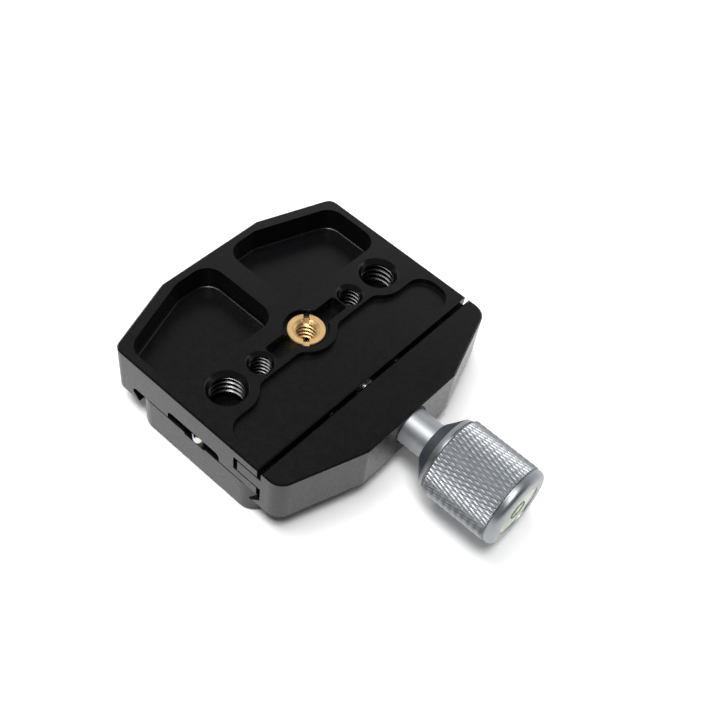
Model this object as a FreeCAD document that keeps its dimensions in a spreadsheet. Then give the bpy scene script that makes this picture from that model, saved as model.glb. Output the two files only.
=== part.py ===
"""Camera quick mount: a dovetail screw clamp lying upside down on its quick-release plate.

Millimetres. X runs along the jaws, the knob points towards -Y and +Z is up. The table is z = 0, the
row of threaded holes lies on y = 0 and the brass bushing is at x = 0.
"""
import FreeCAD
import Part
import math
import os
import Sketcher

SIZES = {
    # clamp body
    "clamp_length": 70.0,
    "body_thick": 9.7,
    "body_back": 31.7,
    "body_shoulder": 24.85,
    "body_back_half": 15.2,
    "body_front": 19.4,
    "body_corner": 2.6,
    "edge_bevel": 0.35,
    "seat_bevel": 0.25,
    "cut_margin": 1.0,
    "lip_drop": 3.5,
    "lip_reach": 17.7,
    "groove_reach": 19.5,
    "groove_relief": 0.5,
    # lightening pockets
    "pocket_depth": 6.4,
    "pocket_front": 6.75,
    "pocket_web": 5.4,
    "pocket_rim": 2.15,
    "pocket_slant_rim": 2.85,
    "pocket_corner": 4.6,
    "pocket_floor_round": 0.5,
    # scalloped relief
    "relief_depth": 1.4,
    "relief_back": 3.95,
    "relief_land": 7.1,
    "relief_cutter": 3.0,
    "relief_rim": 2.3,
    "relief_front": 17.6,
    "relief_corner": 4.5,
    # threaded holes
    "large_hole_x": 24.93,
    "large_hole_radius": 4.7625,
    "small_hole_x": 14.8,
    "small_hole_radius": 3.175,
    "hole_bevel": 0.15,
    "twist_slot_half": 11.3,
    "twist_slot_width": 4.6,
    "twist_slot_depth": 3.7,
    "twist_slot_corner": 0.9,
    "bushing_radius": 4.55,
    "bushing_length": 6.4,
    "bushing_drop": 0.6,
    "bushing_well_radius": 5.45,
    "bushing_well_depth": 1.4,
    "bushing_slot_width": 1.45,
    "bushing_slot_depth": 1.5,
    "bushing_slot_turn": 43.8,
    # stop channels under the clamp
    "channel_half": 8.1,
    "channel_depth": 2.65,
    "channel_length": 16.0,
    "channel_round": 1.4,
    # jaw
    "clamp_gap": 1.15,
    "jaw_depth": 12.05,
    "jaw_side": 5.1,
    "jaw_front_half": 14.8,
    "jaw_corner": 4.0,
    "jaw_vertex": 2.0,
    "tongue_drop": 2.8,
    "tongue_height": 3.8,
    "tongue_width": 5.0,
    "tongue_length": 6.9,
    "tongue_bevel": 0.2,
    "slide_clearance": 0.06,
    "tongue_end_gap": 1.2,
    # screw and knob
    "screw_drop": 5.0,
    "screw_radius": 2.95,
    "screw_depth": 12.4,
    "screw_tip_gap": 1.2,
    "screw_tip_bevel": 0.6,
    "screw_in_knob": 12.0,
    "run_clearance": 0.05,
    "screw_hole_clearance": 0.35,
    "sleeve_radius": 4.5,
    "sleeve_showing": 6.9,
    "sleeve_seat": 4.0,
    "washer_thick": 0.8,
    "collar_length": 3.1,
    "collar_radius": 8.9,
    "collar_step": 0.7,
    "knob_length": 20.85,
    "knob_radius": 9.9,
    "knob_neck_radius": 9.25,
    "knob_neck_length": 1.15,
    "knob_groove": 0.3,
    "knob_shoulder": 0.45,
    "knob_rim_length": 2.0,
    "knob_rim_radius": 9.7,
    "knob_rim_round": 1.5,
    "clip_radius": 4.2,
    "clip_thick": 0.8,
    "clip_play": 0.1,
    "clip_groove_radius": 2.4,
    "clip_well_depth": 1.3,
    "clip_mouth": 2.2,
    # springs
    "spring_x": 11.0,
    "spring_well_radius": 2.4,
    "spring_body_depth": 5.0,
    "spring_jaw_depth": 3.0,
    "spring_radius": 1.65,
    "spring_wire": 0.3,
    "spring_turns": 4.0,
    # round level
    "level_radius": 6.3,
    "level_depth": 6.2,
    "level_drop": 0.25,
    "level_wall": 0.55,
    "lens_thick": 1.2,
    "ring_radius": 2.05,
    "ring_width": 0.3,
    "ring_thick": 0.1,
    "bubble_radius": 1.6,
    "bubble_film": 0.1,
    # dovetail plate
    "plate_inset": 0.05,
    "plate_half": 19.25,
    "plate_thick": 10.2,
    "plate_corner": 5.0,
    "plate_shift": 0.3,
    "plate_neck_half": 16.6,
    "plate_neck_flat": 0.6,
    "plate_bevel": 0.3,
    "grip_clearance": 0.03,
    "stop_inset": 2.25,
    "stop_well_radius": 3.9,
    "stop_well_depth": 0.9,
    "stop_head_radius": 2.2,
    "stop_head_height": 2.6,
    "stop_slot_width": 0.7,
    "stop_slot_depth": 0.8,
    "stop_shank_radius": 1.5,
    "stop_shank_length": 5.0,
    "camera_head_radius": 8.2,
    "camera_head_thick": 2.4,
    "camera_head_drop": 0.1,
    "camera_well_radius": 9.0,
    "camera_web": 2.6,
    "camera_thread_radius": 3.175,
    "camera_slot_width": 1.6,
    "camera_slot_depth": 1.2,
    # rubber strips
    "pad_inset": 5.8,
    "pad_width": 9.0,
    "pad_centre": 12.0,
    "pad_inlay": 1.0,
    "pad_proud": 0.2,
    "pad_corner": 2.0,
}


class Size:
    """A length known both as a number and as the expression that gives it from the sheet."""

    def __init__(self, text, value):
        self.text = text
        self.value = value

    @staticmethod
    def of(other):
        """Return other as a Size, so that plain numbers mix with sheet values."""
        if isinstance(other, Size):
            return other
        return Size(repr(float(other)), float(other))

    def __add__(self, other):
        other = Size.of(other)
        return Size(f"({self.text} + {other.text})", self.value + other.value)

    def __sub__(self, other):
        other = Size.of(other)
        return Size(f"({self.text} - {other.text})", self.value - other.value)

    def __mul__(self, other):
        other = Size.of(other)
        return Size(f"({self.text} * {other.text})", self.value * other.value)

    def __truediv__(self, other):
        other = Size.of(other)
        return Size(f"({self.text} / {other.text})", self.value / other.value)

    def __neg__(self):
        return Size(f"(-1 * {self.text})", -self.value)


def root(size):
    """Square root of a Size."""
    return Size(f"sqrt({size.text})", math.sqrt(size.value))


def long_side(first, second):
    """Hypotenuse of a right triangle with these two sides."""
    return root(first * first + second * second)


def short_side(longest, other):
    """Remaining side of a right triangle with this hypotenuse and side."""
    return root(longest * longest - other * other)


doc = FreeCAD.newDocument("quick_mount")
sheet = doc.addObject("Spreadsheet::Sheet", "Sizes")
for row, (alias, number) in enumerate(SIZES.items(), start=1):
    sheet.set(f"A{row}", alias)
    sheet.set(f"B{row}", str(number))
    sheet.setAlias(f"B{row}", alias)
doc.recompute()


def size(alias):
    """Sheet value with this alias, as a Size."""
    return Size(f"Sizes.{alias}", float(sheet.get(alias)))


ZERO = Size("0", 0.0)

# Levels and reference lines that several pieces share
half_length = size("clamp_length") / 2
plate_bottom = size("pad_proud")
seat_level = plate_bottom + size("plate_thick")
top_level = seat_level + size("body_thick")
lip_level = seat_level - size("lip_drop")
axis_level = top_level - size("screw_drop")
jaw_back = size("body_front") + size("clamp_gap")
jaw_front = jaw_back + size("jaw_depth")
plate_flank = size("lip_reach") + size("plate_shift") - size("grip_clearance")
rim_level = lip_level + size("plate_half") - plate_flank
collar_start = jaw_front + size("sleeve_showing")
knob_start = collar_start + size("collar_length")
knob_end = knob_start + size("knob_length")
sleeve_start = jaw_front - size("sleeve_seat") + size("washer_thick")
clip_well = jaw_back + size("clip_well_depth")
plate_end = half_length - size("plate_inset")


def bind(obj, prop, amount):
    """Set a property of obj now and tie it to the sheet."""
    obj.setExpression(prop, Size.of(amount).text)


def new_body(name):
    """New body whose label names its file."""
    body = doc.addObject("PartDesign::Body", name)
    body.Label = name
    return body


def plane(body, role):
    """Origin plane or axis of the body."""
    return next(item for item in body.Origin.OriginFeatures if item.Role == role)


def new_sketch(body, role, name, offset=ZERO):
    """Sketch on one of the body's origin planes, moved along its normal by offset."""
    sketch = body.newObject("Sketcher::SketchObject", name)
    sketch.AttachmentSupport = [(plane(body, role), "")]
    sketch.MapMode = "FlatFace"
    sketch.AttachmentOffset = FreeCAD.Placement(FreeCAD.Vector(0, 0, offset.value), FreeCAD.Rotation())
    bind(sketch, "AttachmentOffset.Base.z", offset)
    return sketch


def hold(sketch, kind, geometry, point, amount):
    """Hold one coordinate of a sketch point."""
    if amount.text == ZERO.text:
        axis = -2 if kind == "DistanceX" else -1
        sketch.addConstraint(Sketcher.Constraint("PointOnObject", geometry, point, axis))
        return
    index = sketch.addConstraint(Sketcher.Constraint(kind, -1, 1, geometry, point, amount.value))
    bind(sketch, f"Constraints[{index}]", amount)


def pin_point(sketch, geometry, point, x, y):
    """Hold both coordinates of a sketch point."""
    hold(sketch, "DistanceX", geometry, point, x)
    hold(sketch, "DistanceY", geometry, point, y)


def draw_polygon(sketch, corners):
    """Closed polygon whose corners are (x, y) sizes."""
    points = [FreeCAD.Vector(x.value, y.value, 0) for x, y in corners]
    count = len(points)
    lines = []
    for index in range(count):
        segment = Part.LineSegment(points[index], points[(index + 1) % count])
        lines.append(sketch.addGeometry(segment, False))
    for index in range(count):
        following = lines[(index + 1) % count]
        sketch.addConstraint(Sketcher.Constraint("Coincident", lines[index], 2, following, 1))
    for line, (x, y) in zip(lines, corners):
        pin_point(sketch, line, 1, x, y)


def draw_box(sketch, left, right, bottom, top):
    """Rectangle between two pairs of coordinates."""
    draw_polygon(sketch, [(left, bottom), (right, bottom), (right, top), (left, top)])


def draw_circle(sketch, x, y, radius):
    """Circle with its centre at (x, y)."""
    circle = Part.Circle(FreeCAD.Vector(x.value, y.value, 0), FreeCAD.Vector(0, 0, 1), radius.value)
    index = sketch.addGeometry(circle, False)
    limit = sketch.addConstraint(Sketcher.Constraint("Radius", index, radius.value))
    bind(sketch, f"Constraints[{limit}]", radius)
    pin_point(sketch, index, 3, x, y)


def draw_arc(sketch, x, y, radius, start, end, fixed=True):
    """Arc about (x, y) from one angle to another, in degrees, counter-clockwise.

    When it is not fixed, the arc can still move along X until a tangent holds it.
    """
    circle = Part.Circle(FreeCAD.Vector(x.value, y.value, 0), FreeCAD.Vector(0, 0, 1), radius.value)
    arc = Part.ArcOfCircle(circle, math.radians(start), math.radians(end))
    index = sketch.addGeometry(arc, False)
    limit = sketch.addConstraint(Sketcher.Constraint("Radius", index, radius.value))
    bind(sketch, f"Constraints[{limit}]", radius)
    if fixed:
        hold(sketch, "DistanceX", index, 3, x)
    hold(sketch, "DistanceY", index, 3, y)
    return index


def join_arcs(sketch, first, first_end, second, second_end):
    """Straight line between the ends of two arcs, tangent to both."""
    start = sketch.getPoint(first, first_end)
    finish = sketch.getPoint(second, second_end)
    line = sketch.addGeometry(Part.LineSegment(start, finish), False)
    sketch.addConstraint(Sketcher.Constraint("Tangent", line, 1, first, first_end))
    sketch.addConstraint(Sketcher.Constraint("Tangent", line, 2, second, second_end))


def add_feature(body, kind, name, sketch, length=None, reverse=False):
    """Pad or Pocket of a sketch; with no length it goes through all."""
    feature = body.newObject(f"PartDesign::{kind}", name)
    feature.Profile = sketch
    if length is None:
        feature.Type = 1
    else:
        feature.Length = length.value
        bind(feature, "Length", length)
    feature.Reversed = reverse
    return feature


def turn(body, name, corners):
    """Revolve a closed (y, radius) outline about the body's Y axis."""
    sketch = new_sketch(body, "YZ_Plane", name + "_outline")
    draw_polygon(sketch, corners)
    feature = body.newObject("PartDesign::Revolution", name)
    feature.Profile = sketch
    feature.ReferenceAxis = (sketch, ["H_Axis"])
    feature.Angle = 360.0
    return feature


def turned_body(name, corners):
    """Body turned about the screw's axis."""
    body = new_body(name)
    turn(body, name + "_turned", corners)
    bind(body, "Placement.Base.z", axis_level)
    return body


def mirror(body, features, role="YZ_Plane"):
    """Repeat features on the other side of a plane of the body."""
    copy = body.newObject("PartDesign::Mirrored", features[0].Name + "_mirror")
    copy.Originals = features
    copy.MirrorPlane = (plane(body, role), [""])
    body.Tip = copy


def edge_names(shape, wanted):
    """Names of the edges for which wanted(edge) holds."""
    return [f"Edge{index}" for index, edge in enumerate(shape.Edges, start=1) if wanted(edge)]


def dress(body, kind, name, amount, wanted):
    """Fillet or Chamfer the wanted edges of the body as it is so far."""
    doc.recompute()
    base = body.Tip
    names = edge_names(base.Shape, wanted)
    feature = body.newObject(f"PartDesign::{kind}", name)
    feature.Base = (base, names)
    prop = "Radius" if kind == "Fillet" else "Size"
    setattr(feature, prop, amount.value)
    bind(feature, prop, amount)


def near(first, second):
    """Whether two coordinates are the same."""
    return abs(first - second) < 1e-4


def is_upright(edge):
    """Whether an edge is straight and vertical."""
    if len(edge.Vertexes) != 2:
        return False
    first, second = (vertex.Point for vertex in edge.Vertexes)
    return near(first.x, second.x) and near(first.y, second.y) and edge.Length > 1e-3


def stands_at(edge, places):
    """Whether a vertical edge stands at one of these (|x|, y) places."""
    if not is_upright(edge):
        return False
    point = edge.Vertexes[0].Point
    return any(near(abs(point.x), x.value) and near(point.y, y.value) for x, y in places)


def lies_at(edge, level):
    """Whether the whole edge lies at one height."""
    box = edge.BoundBox
    return near(box.ZMin, level.value) and near(box.ZMax, level.value)


def is_rim(edge, level, radii):
    """Whether an edge is a full circle of one of these radii at this height."""
    if not lies_at(edge, level) or edge.Curve.TypeId != "Part::GeomCircle":
        return False
    return any(near(edge.Curve.Radius, radius) for radius in radii)


def is_ring(edge, rims):
    """Whether an edge of a turned piece is one of these (distance from y = 0, radius) rings."""
    if edge.Curve.TypeId != "Part::GeomCircle":
        return False
    distance = -edge.Curve.Center.y
    radius = edge.Curve.Radius
    return any(near(distance, place.value) and near(radius, rim.value) for place, rim in rims)


def is_along_x(edge, distance, level):
    """Whether an edge runs along X at this height and distance from y = 0."""
    box = edge.BoundBox
    straight = near(box.YMin, box.YMax) and near(box.ZMin, box.ZMax)
    return straight and near(abs(box.YMin), distance) and near(box.ZMin, level.value)


def is_along_y(edge, levels):
    """Whether an edge runs along Y on an end of the clamp, at one of these heights."""
    box = edge.BoundBox
    straight = near(box.XMin, box.XMax) and near(box.ZMin, box.ZMax)
    at_end = near(abs(box.XMin), half_length.value)
    return straight and at_end and any(near(box.ZMin, level.value) for level in levels)


def mirrored_points(corners):
    """The same outline on the other side of x = 0."""
    return [(-x, y) for x, y in corners]


def draw_both_sides(sketch, corners):
    """Polygon and its mirror image."""
    draw_polygon(sketch, corners)
    draw_polygon(sketch, mirrored_points(corners))


def draw_corner_cuts(sketch, outer_x, outer_y, inner_x, inner_y, margin):
    """Triangles that slant the two corners between (outer_x, outer_y) and (inner_x, inner_y)."""
    draw_both_sides(sketch, [
        (inner_x, inner_y),
        (outer_x, outer_y),
        (outer_x + margin, outer_y),
        (outer_x + margin, inner_y + margin * math.copysign(1, inner_y.value)),
        (inner_x, inner_y + margin * math.copysign(1, inner_y.value)),
    ])


def pocket_corners():
    """Corners of the right lightening pocket, which follows the body's outline inside its rim."""
    run = half_length - size("body_back_half")
    rise = size("body_back") - size("body_shoulder")
    slant = long_side(run, rise)
    rim = size("pocket_rim")
    slant_rim = size("pocket_slant_rim")
    inner = size("pocket_web") / 2
    outer = half_length - rim
    back = size("body_back") - rim
    outer_y = size("body_shoulder") + (rise * rim - slant_rim * slant) / run
    back_x = half_length - (slant_rim * slant + run * (rise - rim)) / rise
    front = size("pocket_front")
    return [(inner, front), (outer, front), (outer, outer_y), (back_x, back), (inner, back)]


def draw_relief(sketch):
    """Outline of the shallow relief.

    Its back border is the path of a round cutter: it runs straight between the holes and swells
    round the lands that are left about the bushing and the two large holes.
    """
    land = size("relief_land")
    cutter = size("relief_cutter")
    corner = size("relief_corner")
    path = size("relief_back") + cutter
    reach = short_side(land + cutter, path)
    swell = math.degrees(math.atan2(reach.value, path.value))
    side = half_length - size("relief_rim") - corner
    middle = draw_arc(sketch, ZERO, ZERO, land, -90 - swell, -90 + swell)
    front_arcs = []
    for sign in (1, -1):
        hole_x = size("large_hole_x") * sign
        right = sign > 0
        inner_span = (90, 90 + swell) if right else (90 - swell, 90)
        outer_span = (90 - swell, 90) if right else (90, 90 + swell)
        land_span = (-90 - swell, -90) if right else (-90, -90 + swell)
        back_span = (0, 90) if right else (90, 180)
        front_span = (-90, 0) if right else (180, 270)
        far_end, near_end = (2, 1) if right else (1, 2)
        inner = draw_arc(sketch, reach * sign, -path, cutter, *inner_span, fixed=False)
        outer = draw_arc(sketch, hole_x - reach * sign, -path, cutter, *outer_span, fixed=False)
        hole_land = draw_arc(sketch, hole_x, ZERO, land, *land_span)
        back = draw_arc(sketch, side * sign, -(land + corner), corner, *back_span)
        front = draw_arc(sketch, side * sign, corner - size("relief_front"), corner, *front_span)
        sketch.addConstraint(Sketcher.Constraint("Tangent", middle, far_end, inner, far_end))
        sketch.addConstraint(Sketcher.Constraint("Tangent", outer, near_end, hole_land, near_end))
        join_arcs(sketch, inner, near_end, outer, far_end)
        join_arcs(sketch, hole_land, far_end, back, far_end)
        join_arcs(sketch, back, near_end, front, far_end)
        front_arcs.append((front, near_end))
    join_arcs(sketch, *front_arcs[1], *front_arcs[0])


def tongue_span():
    """Bottom and top of the jaw's tongues."""
    top = top_level - size("tongue_drop")
    return top - size("tongue_height"), top


def make_clamp_body():
    """Fixed half of the clamp, milled from one block."""
    body = new_body("clamp_body")
    margin = size("cut_margin")
    front = size("body_front")
    back = size("body_back")
    groove = size("groove_reach")
    relief = size("groove_relief")
    section = new_sketch(body, "YZ_Plane", "body_section", -half_length)
    draw_polygon(section, [
        (-front, seat_level),
        (groove - relief, seat_level),
        (groove, seat_level - relief),
        (groove, lip_level + groove - size("lip_reach")),
        (size("lip_reach"), lip_level),
        (back, lip_level),
        (back, top_level),
        (-front, top_level),
    ])
    add_feature(body, "Pad", "body_block", section, size("clamp_length"))
    corners = new_sketch(body, "XY_Plane", "body_corners", top_level)
    shoulder = size("body_shoulder")
    draw_corner_cuts(corners, half_length, shoulder, size("body_back_half"), back, margin)
    add_feature(body, "Pocket", "body_corner_cut", corners)
    places = [(half_length, shoulder), (size("body_back_half"), back)]
    dress(body, "Fillet", "body_corner_round", size("body_corner"), lambda edge: stands_at(edge, places))
    dress(body, "Chamfer", "body_bevel", size("edge_bevel"), lambda edge: lies_at(edge, top_level))
    dress(body, "Chamfer", "seat_bevel", size("seat_bevel"), lambda edge: is_along_y(edge, [seat_level]))

    hollows = new_sketch(body, "XY_Plane", "pocket_outline", top_level)
    draw_both_sides(hollows, pocket_corners())
    add_feature(body, "Pocket", "pockets", hollows, size("pocket_depth"))
    places = pocket_corners()
    dress(body, "Fillet", "pocket_round", size("pocket_corner"), lambda edge: stands_at(edge, places))
    floor = top_level - size("pocket_depth")
    dress(body, "Fillet", "pocket_floor", size("pocket_floor_round"), lambda edge: lies_at(edge, floor))

    border = new_sketch(body, "XY_Plane", "relief_outline", top_level)
    draw_relief(border)
    add_feature(body, "Pocket", "relief", border, size("relief_depth"))
    slot = new_sketch(body, "XY_Plane", "twist_slot_outline", top_level)
    slot_end = size("twist_slot_half")
    slot_side = size("twist_slot_width") / 2
    draw_box(slot, -slot_end, slot_end, -slot_side, slot_side)
    add_feature(body, "Pocket", "twist_slot", slot, size("twist_slot_depth"))
    places = [(slot_end, slot_side), (slot_end, -slot_side)]
    dress(body, "Fillet", "twist_slot_round", size("twist_slot_corner"), lambda edge: stands_at(edge, places))
    well = new_sketch(body, "XY_Plane", "bushing_well_outline", top_level)
    draw_circle(well, ZERO, ZERO, size("bushing_well_radius"))
    add_feature(body, "Pocket", "bushing_well", well, size("bushing_well_depth"))
    bores = new_sketch(body, "XY_Plane", "bores_outline", top_level)
    draw_circle(bores, ZERO, ZERO, size("bushing_radius"))
    for sign in (1, -1):
        draw_circle(bores, size("large_hole_x") * sign, ZERO, size("large_hole_radius"))
        draw_circle(bores, size("small_hole_x") * sign, ZERO, size("small_hole_radius"))
    add_feature(body, "Pocket", "bores", bores)
    radii = (size("large_hole_radius").value, size("small_hole_radius").value)
    dress(body, "Chamfer", "hole_mouths", size("hole_bevel"), lambda edge: is_rim(edge, top_level, radii))

    channel = new_sketch(body, "YZ_Plane", "channel_outline", half_length)
    roof = seat_level + size("channel_depth")
    draw_box(channel, -size("channel_half"), size("channel_half"), seat_level - margin, roof)
    cut = add_feature(body, "Pocket", "channel", channel, size("channel_length"))
    mirror(body, [cut])
    sides = size("channel_half").value
    dress(body, "Fillet", "channel_round", size("channel_round"), lambda edge: is_along_x(edge, sides, roof))

    guide = new_sketch(body, "YZ_Plane", "tongue_slot_outline", half_length)
    bottom, top = tongue_span()
    clear = size("slide_clearance")
    guide_end = jaw_back - size("tongue_length") - size("tongue_end_gap")
    draw_box(guide, -(front + margin), -guide_end, bottom - clear, top + clear)
    cut = add_feature(body, "Pocket", "tongue_slot", guide, size("tongue_width") + clear)
    mirror(body, [cut])
    rims = [bottom - clear, top + clear]
    dress(body, "Chamfer", "tongue_slot_bevel", size("tongue_bevel"), lambda edge: is_along_y(edge, rims))

    thread = new_sketch(body, "XZ_Plane", "screw_bore_outline", front)
    draw_circle(thread, ZERO, axis_level, size("screw_radius") + size("run_clearance"))
    add_feature(body, "Pocket", "screw_bore", thread, size("screw_depth"))
    wells = new_sketch(body, "XZ_Plane", "spring_wells_outline", front)
    for sign in (1, -1):
        draw_circle(wells, size("spring_x") * sign, axis_level, size("spring_well_radius"))
    add_feature(body, "Pocket", "spring_wells", wells, size("spring_body_depth"))
    return body


def make_movable_jaw():
    """Moving half of the clamp, with a lip, two guide tongues and the screw's seat."""
    body = new_body("movable_jaw")
    margin = size("cut_margin")
    reach = size("lip_reach") + size("plate_shift") * 2
    section = new_sketch(body, "YZ_Plane", "jaw_section", -half_length)
    draw_polygon(section, [
        (-jaw_back, lip_level + jaw_back - reach),
        (-reach, lip_level),
        (-jaw_front, lip_level),
        (-jaw_front, top_level),
        (-jaw_back, top_level),
    ])
    add_feature(body, "Pad", "jaw_block", section, size("clamp_length"))
    corners = new_sketch(body, "XY_Plane", "jaw_corners", top_level)
    shoulder = -(jaw_back + size("jaw_side"))
    draw_corner_cuts(corners, half_length, shoulder, size("jaw_front_half"), -jaw_front, margin)
    add_feature(body, "Pocket", "jaw_corner_cut", corners)
    dress(body, "Fillet", "jaw_corner_round", size("jaw_corner"),
          lambda edge: stands_at(edge, [(half_length, shoulder)]))
    dress(body, "Fillet", "jaw_vertex_round", size("jaw_vertex"),
          lambda edge: stands_at(edge, [(size("jaw_front_half"), -jaw_front)]))
    dress(body, "Chamfer", "jaw_bevel", size("edge_bevel"), lambda edge: lies_at(edge, top_level))

    tongue = new_sketch(body, "YZ_Plane", "tongue_outline", half_length)
    bottom, top = tongue_span()
    draw_box(tongue, -(jaw_back + margin), size("tongue_length") - jaw_back, bottom, top)
    block = add_feature(body, "Pad", "tongue", tongue, size("tongue_width"), reverse=True)
    mirror(body, [block])
    dress(body, "Chamfer", "tongue_bevel", size("tongue_bevel"), lambda edge: is_along_y(edge, [bottom, top]))

    hole = new_sketch(body, "XZ_Plane", "screw_hole_outline", jaw_front)
    draw_circle(hole, ZERO, axis_level, size("screw_radius") + size("screw_hole_clearance"))
    add_feature(body, "Pocket", "screw_hole", hole)
    seat = new_sketch(body, "XZ_Plane", "sleeve_seat_outline", jaw_front)
    draw_circle(seat, ZERO, axis_level, size("sleeve_radius") + size("run_clearance"))
    add_feature(body, "Pocket", "sleeve_seat", seat, size("sleeve_seat"))
    well = new_sketch(body, "XZ_Plane", "clip_well_outline", jaw_back)
    draw_circle(well, ZERO, axis_level, size("clip_radius") + size("screw_hole_clearance"))
    add_feature(body, "Pocket", "clip_well", well, size("clip_well_depth"), reverse=True)
    wells = new_sketch(body, "XZ_Plane", "jaw_spring_wells_outline", jaw_back)
    for sign in (1, -1):
        draw_circle(wells, size("spring_x") * sign, axis_level, size("spring_well_radius"))
    add_feature(body, "Pocket", "jaw_spring_wells", wells, size("spring_jaw_depth"), reverse=True)
    return body


def clip_span():
    """Distances from y = 0 at which the retaining clip starts and ends."""
    end = clip_well - size("clip_play")
    return end - size("clip_thick"), end


def make_clamp_screw():
    """Steel stud from the body's thread to the knob, with a groove for the clip."""
    radius = size("screw_radius")
    bevel = size("screw_tip_bevel")
    tip = size("body_front") - size("screw_depth") + size("screw_tip_gap")
    end = knob_start + size("screw_in_knob")
    clip_start, clip_end = clip_span()
    return turned_body("clamp_screw", [
        (-tip, ZERO),
        (-tip, radius - bevel),
        (-(tip + bevel), radius),
        (-clip_start, radius),
        (-clip_start, size("clip_groove_radius")),
        (-clip_end, size("clip_groove_radius")),
        (-clip_end, radius),
        (-end, radius),
        (-end, ZERO),
    ])


def make_ring(name, start, end, inner, outer):
    """Plain ring about the screw's axis between two distances from y = 0."""
    return turned_body(name, [(-start, inner), (-start, outer), (-end, outer), (-end, inner)])


def make_screw_clip():
    """Open retaining clip in the screw's groove."""
    start, end = clip_span()
    outer = size("clip_radius")
    clip = make_ring("screw_clip", start, end, size("clip_groove_radius"), outer)
    mouth = new_sketch(clip, "XZ_Plane", "clip_mouth_outline", end)
    half = size("clip_mouth") / 2
    draw_box(mouth, -half, half, -(outer + size("cut_margin")), ZERO)
    add_feature(clip, "Pocket", "clip_mouth_cut", mouth)
    return clip


def make_knob_grip():
    """Turned knob with a groove at each end of its grip, a rounded rim and a well for the level."""
    groove = size("knob_groove")
    neck = size("knob_neck_radius")
    rim = size("knob_rim_radius")
    neck_end = knob_start + size("knob_neck_length")
    barrel_start = neck_end + groove + size("knob_shoulder")
    well = knob_end - size("level_drop") - size("level_depth")
    socket = knob_start + size("screw_in_knob")
    rim_start = knob_end - size("knob_rim_length")
    knob = turned_body("knob_grip", [
        (-knob_start, size("screw_radius")),
        (-knob_start, size("collar_radius")),
        (-neck_end, neck),
        (-neck_end, neck - groove),
        (-(neck_end + groove), neck - groove),
        (-(neck_end + groove), neck),
        (-barrel_start, size("knob_radius")),
        (-(rim_start - groove), size("knob_radius")),
        (-(rim_start - groove), rim - groove),
        (-rim_start, rim - groove),
        (-rim_start, rim),
        (-knob_end, rim),
        (-knob_end, size("level_radius")),
        (-well, size("level_radius")),
        (-well, ZERO),
        (-socket, ZERO),
        (-socket, size("screw_radius")),
    ])
    rims = [(knob_end, rim)]
    dress(knob, "Fillet", "knob_rim_rounding", size("knob_rim_round"), lambda edge: is_ring(edge, rims))
    return knob


def make_level():
    """Round level in the end of the knob: cup, lens, liquid, bubble and its marked circle."""
    end = knob_end - size("level_drop")
    bottom = end - size("level_depth")
    wall = size("level_wall")
    outer = size("level_radius")
    inner = outer - wall
    lens_back = end - size("lens_thick")
    cup = turned_body("level_cup", [
        (-bottom, ZERO),
        (-bottom, outer),
        (-end, outer),
        (-end, inner),
        (-(bottom + wall), inner),
        (-(bottom + wall), ZERO),
    ])
    lens = turned_body("level_lens", [(-lens_back, ZERO), (-lens_back, inner), (-end, inner), (-end, ZERO)])
    ring_inner = size("ring_radius")
    ring = make_ring("level_ring", end, end + size("ring_thick"), ring_inner, ring_inner + size("ring_width"))
    film = size("bubble_film")
    bubble_space = size("bubble_radius") + film
    bubble_y = lens_back - film - bubble_space
    bubble_z = axis_level + inner - film - bubble_space
    bubble = make_ball("level_bubble", size("bubble_radius"), bubble_y, bubble_z)
    filling = doc.addObject("Part::Cylinder", "level_filling")
    bind(filling, "Radius", inner)
    bind(filling, "Height", lens_back - bottom - wall)
    filling.Placement.Rotation = FreeCAD.Rotation(FreeCAD.Vector(1, 0, 0), 90)
    bind(filling, "Placement.Base.y", -(bottom + wall))
    bind(filling, "Placement.Base.z", axis_level)
    liquid = doc.addObject("Part::Cut", "level_liquid")
    liquid.Label = "level_liquid"
    liquid.Base = filling
    liquid.Tool = make_ball("bubble_space", bubble_space, bubble_y, bubble_z)
    return [cup, lens, ring, bubble, liquid]


def make_ball(name, radius, distance, level):
    """Ball at this distance from y = 0 and this height."""
    ball = doc.addObject("Part::Sphere", name)
    ball.Label = name
    bind(ball, "Radius", radius)
    bind(ball, "Placement.Base.y", -distance)
    bind(ball, "Placement.Base.z", level)
    return ball


def make_spring(name, sign):
    """Compression spring between the wells of body and jaw."""
    wire = size("spring_wire")
    start = size("body_front") - size("spring_body_depth") + wire
    end = jaw_back + size("spring_jaw_depth") - wire
    coil = doc.addObject("Part::Helix", name + "_coil")
    bind(coil, "Radius", size("spring_radius"))
    bind(coil, "Height", end - start)
    bind(coil, "Pitch", (end - start) / size("spring_turns"))
    section = doc.addObject("Part::Circle", name + "_wire")
    bind(section, "Radius", wire)
    section.Placement.Rotation = FreeCAD.Rotation(FreeCAD.Vector(1, 0, 0), 90)
    bind(section, "Placement.Base.x", size("spring_radius"))
    doc.recompute()
    spring = doc.addObject("Part::Sweep", name)
    spring.Label = name
    spring.Sections = [section]
    spring.Spine = (coil, [f"Edge{index + 1}" for index in range(len(coil.Shape.Edges))])
    spring.Solid = True
    spring.Frenet = True
    spring.Placement.Rotation = FreeCAD.Rotation(FreeCAD.Vector(1, 0, 0), 90)
    bind(spring, "Placement.Base.x", size("spring_x") * sign)
    bind(spring, "Placement.Base.y", -start)
    bind(spring, "Placement.Base.z", axis_level)
    return spring


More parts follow.
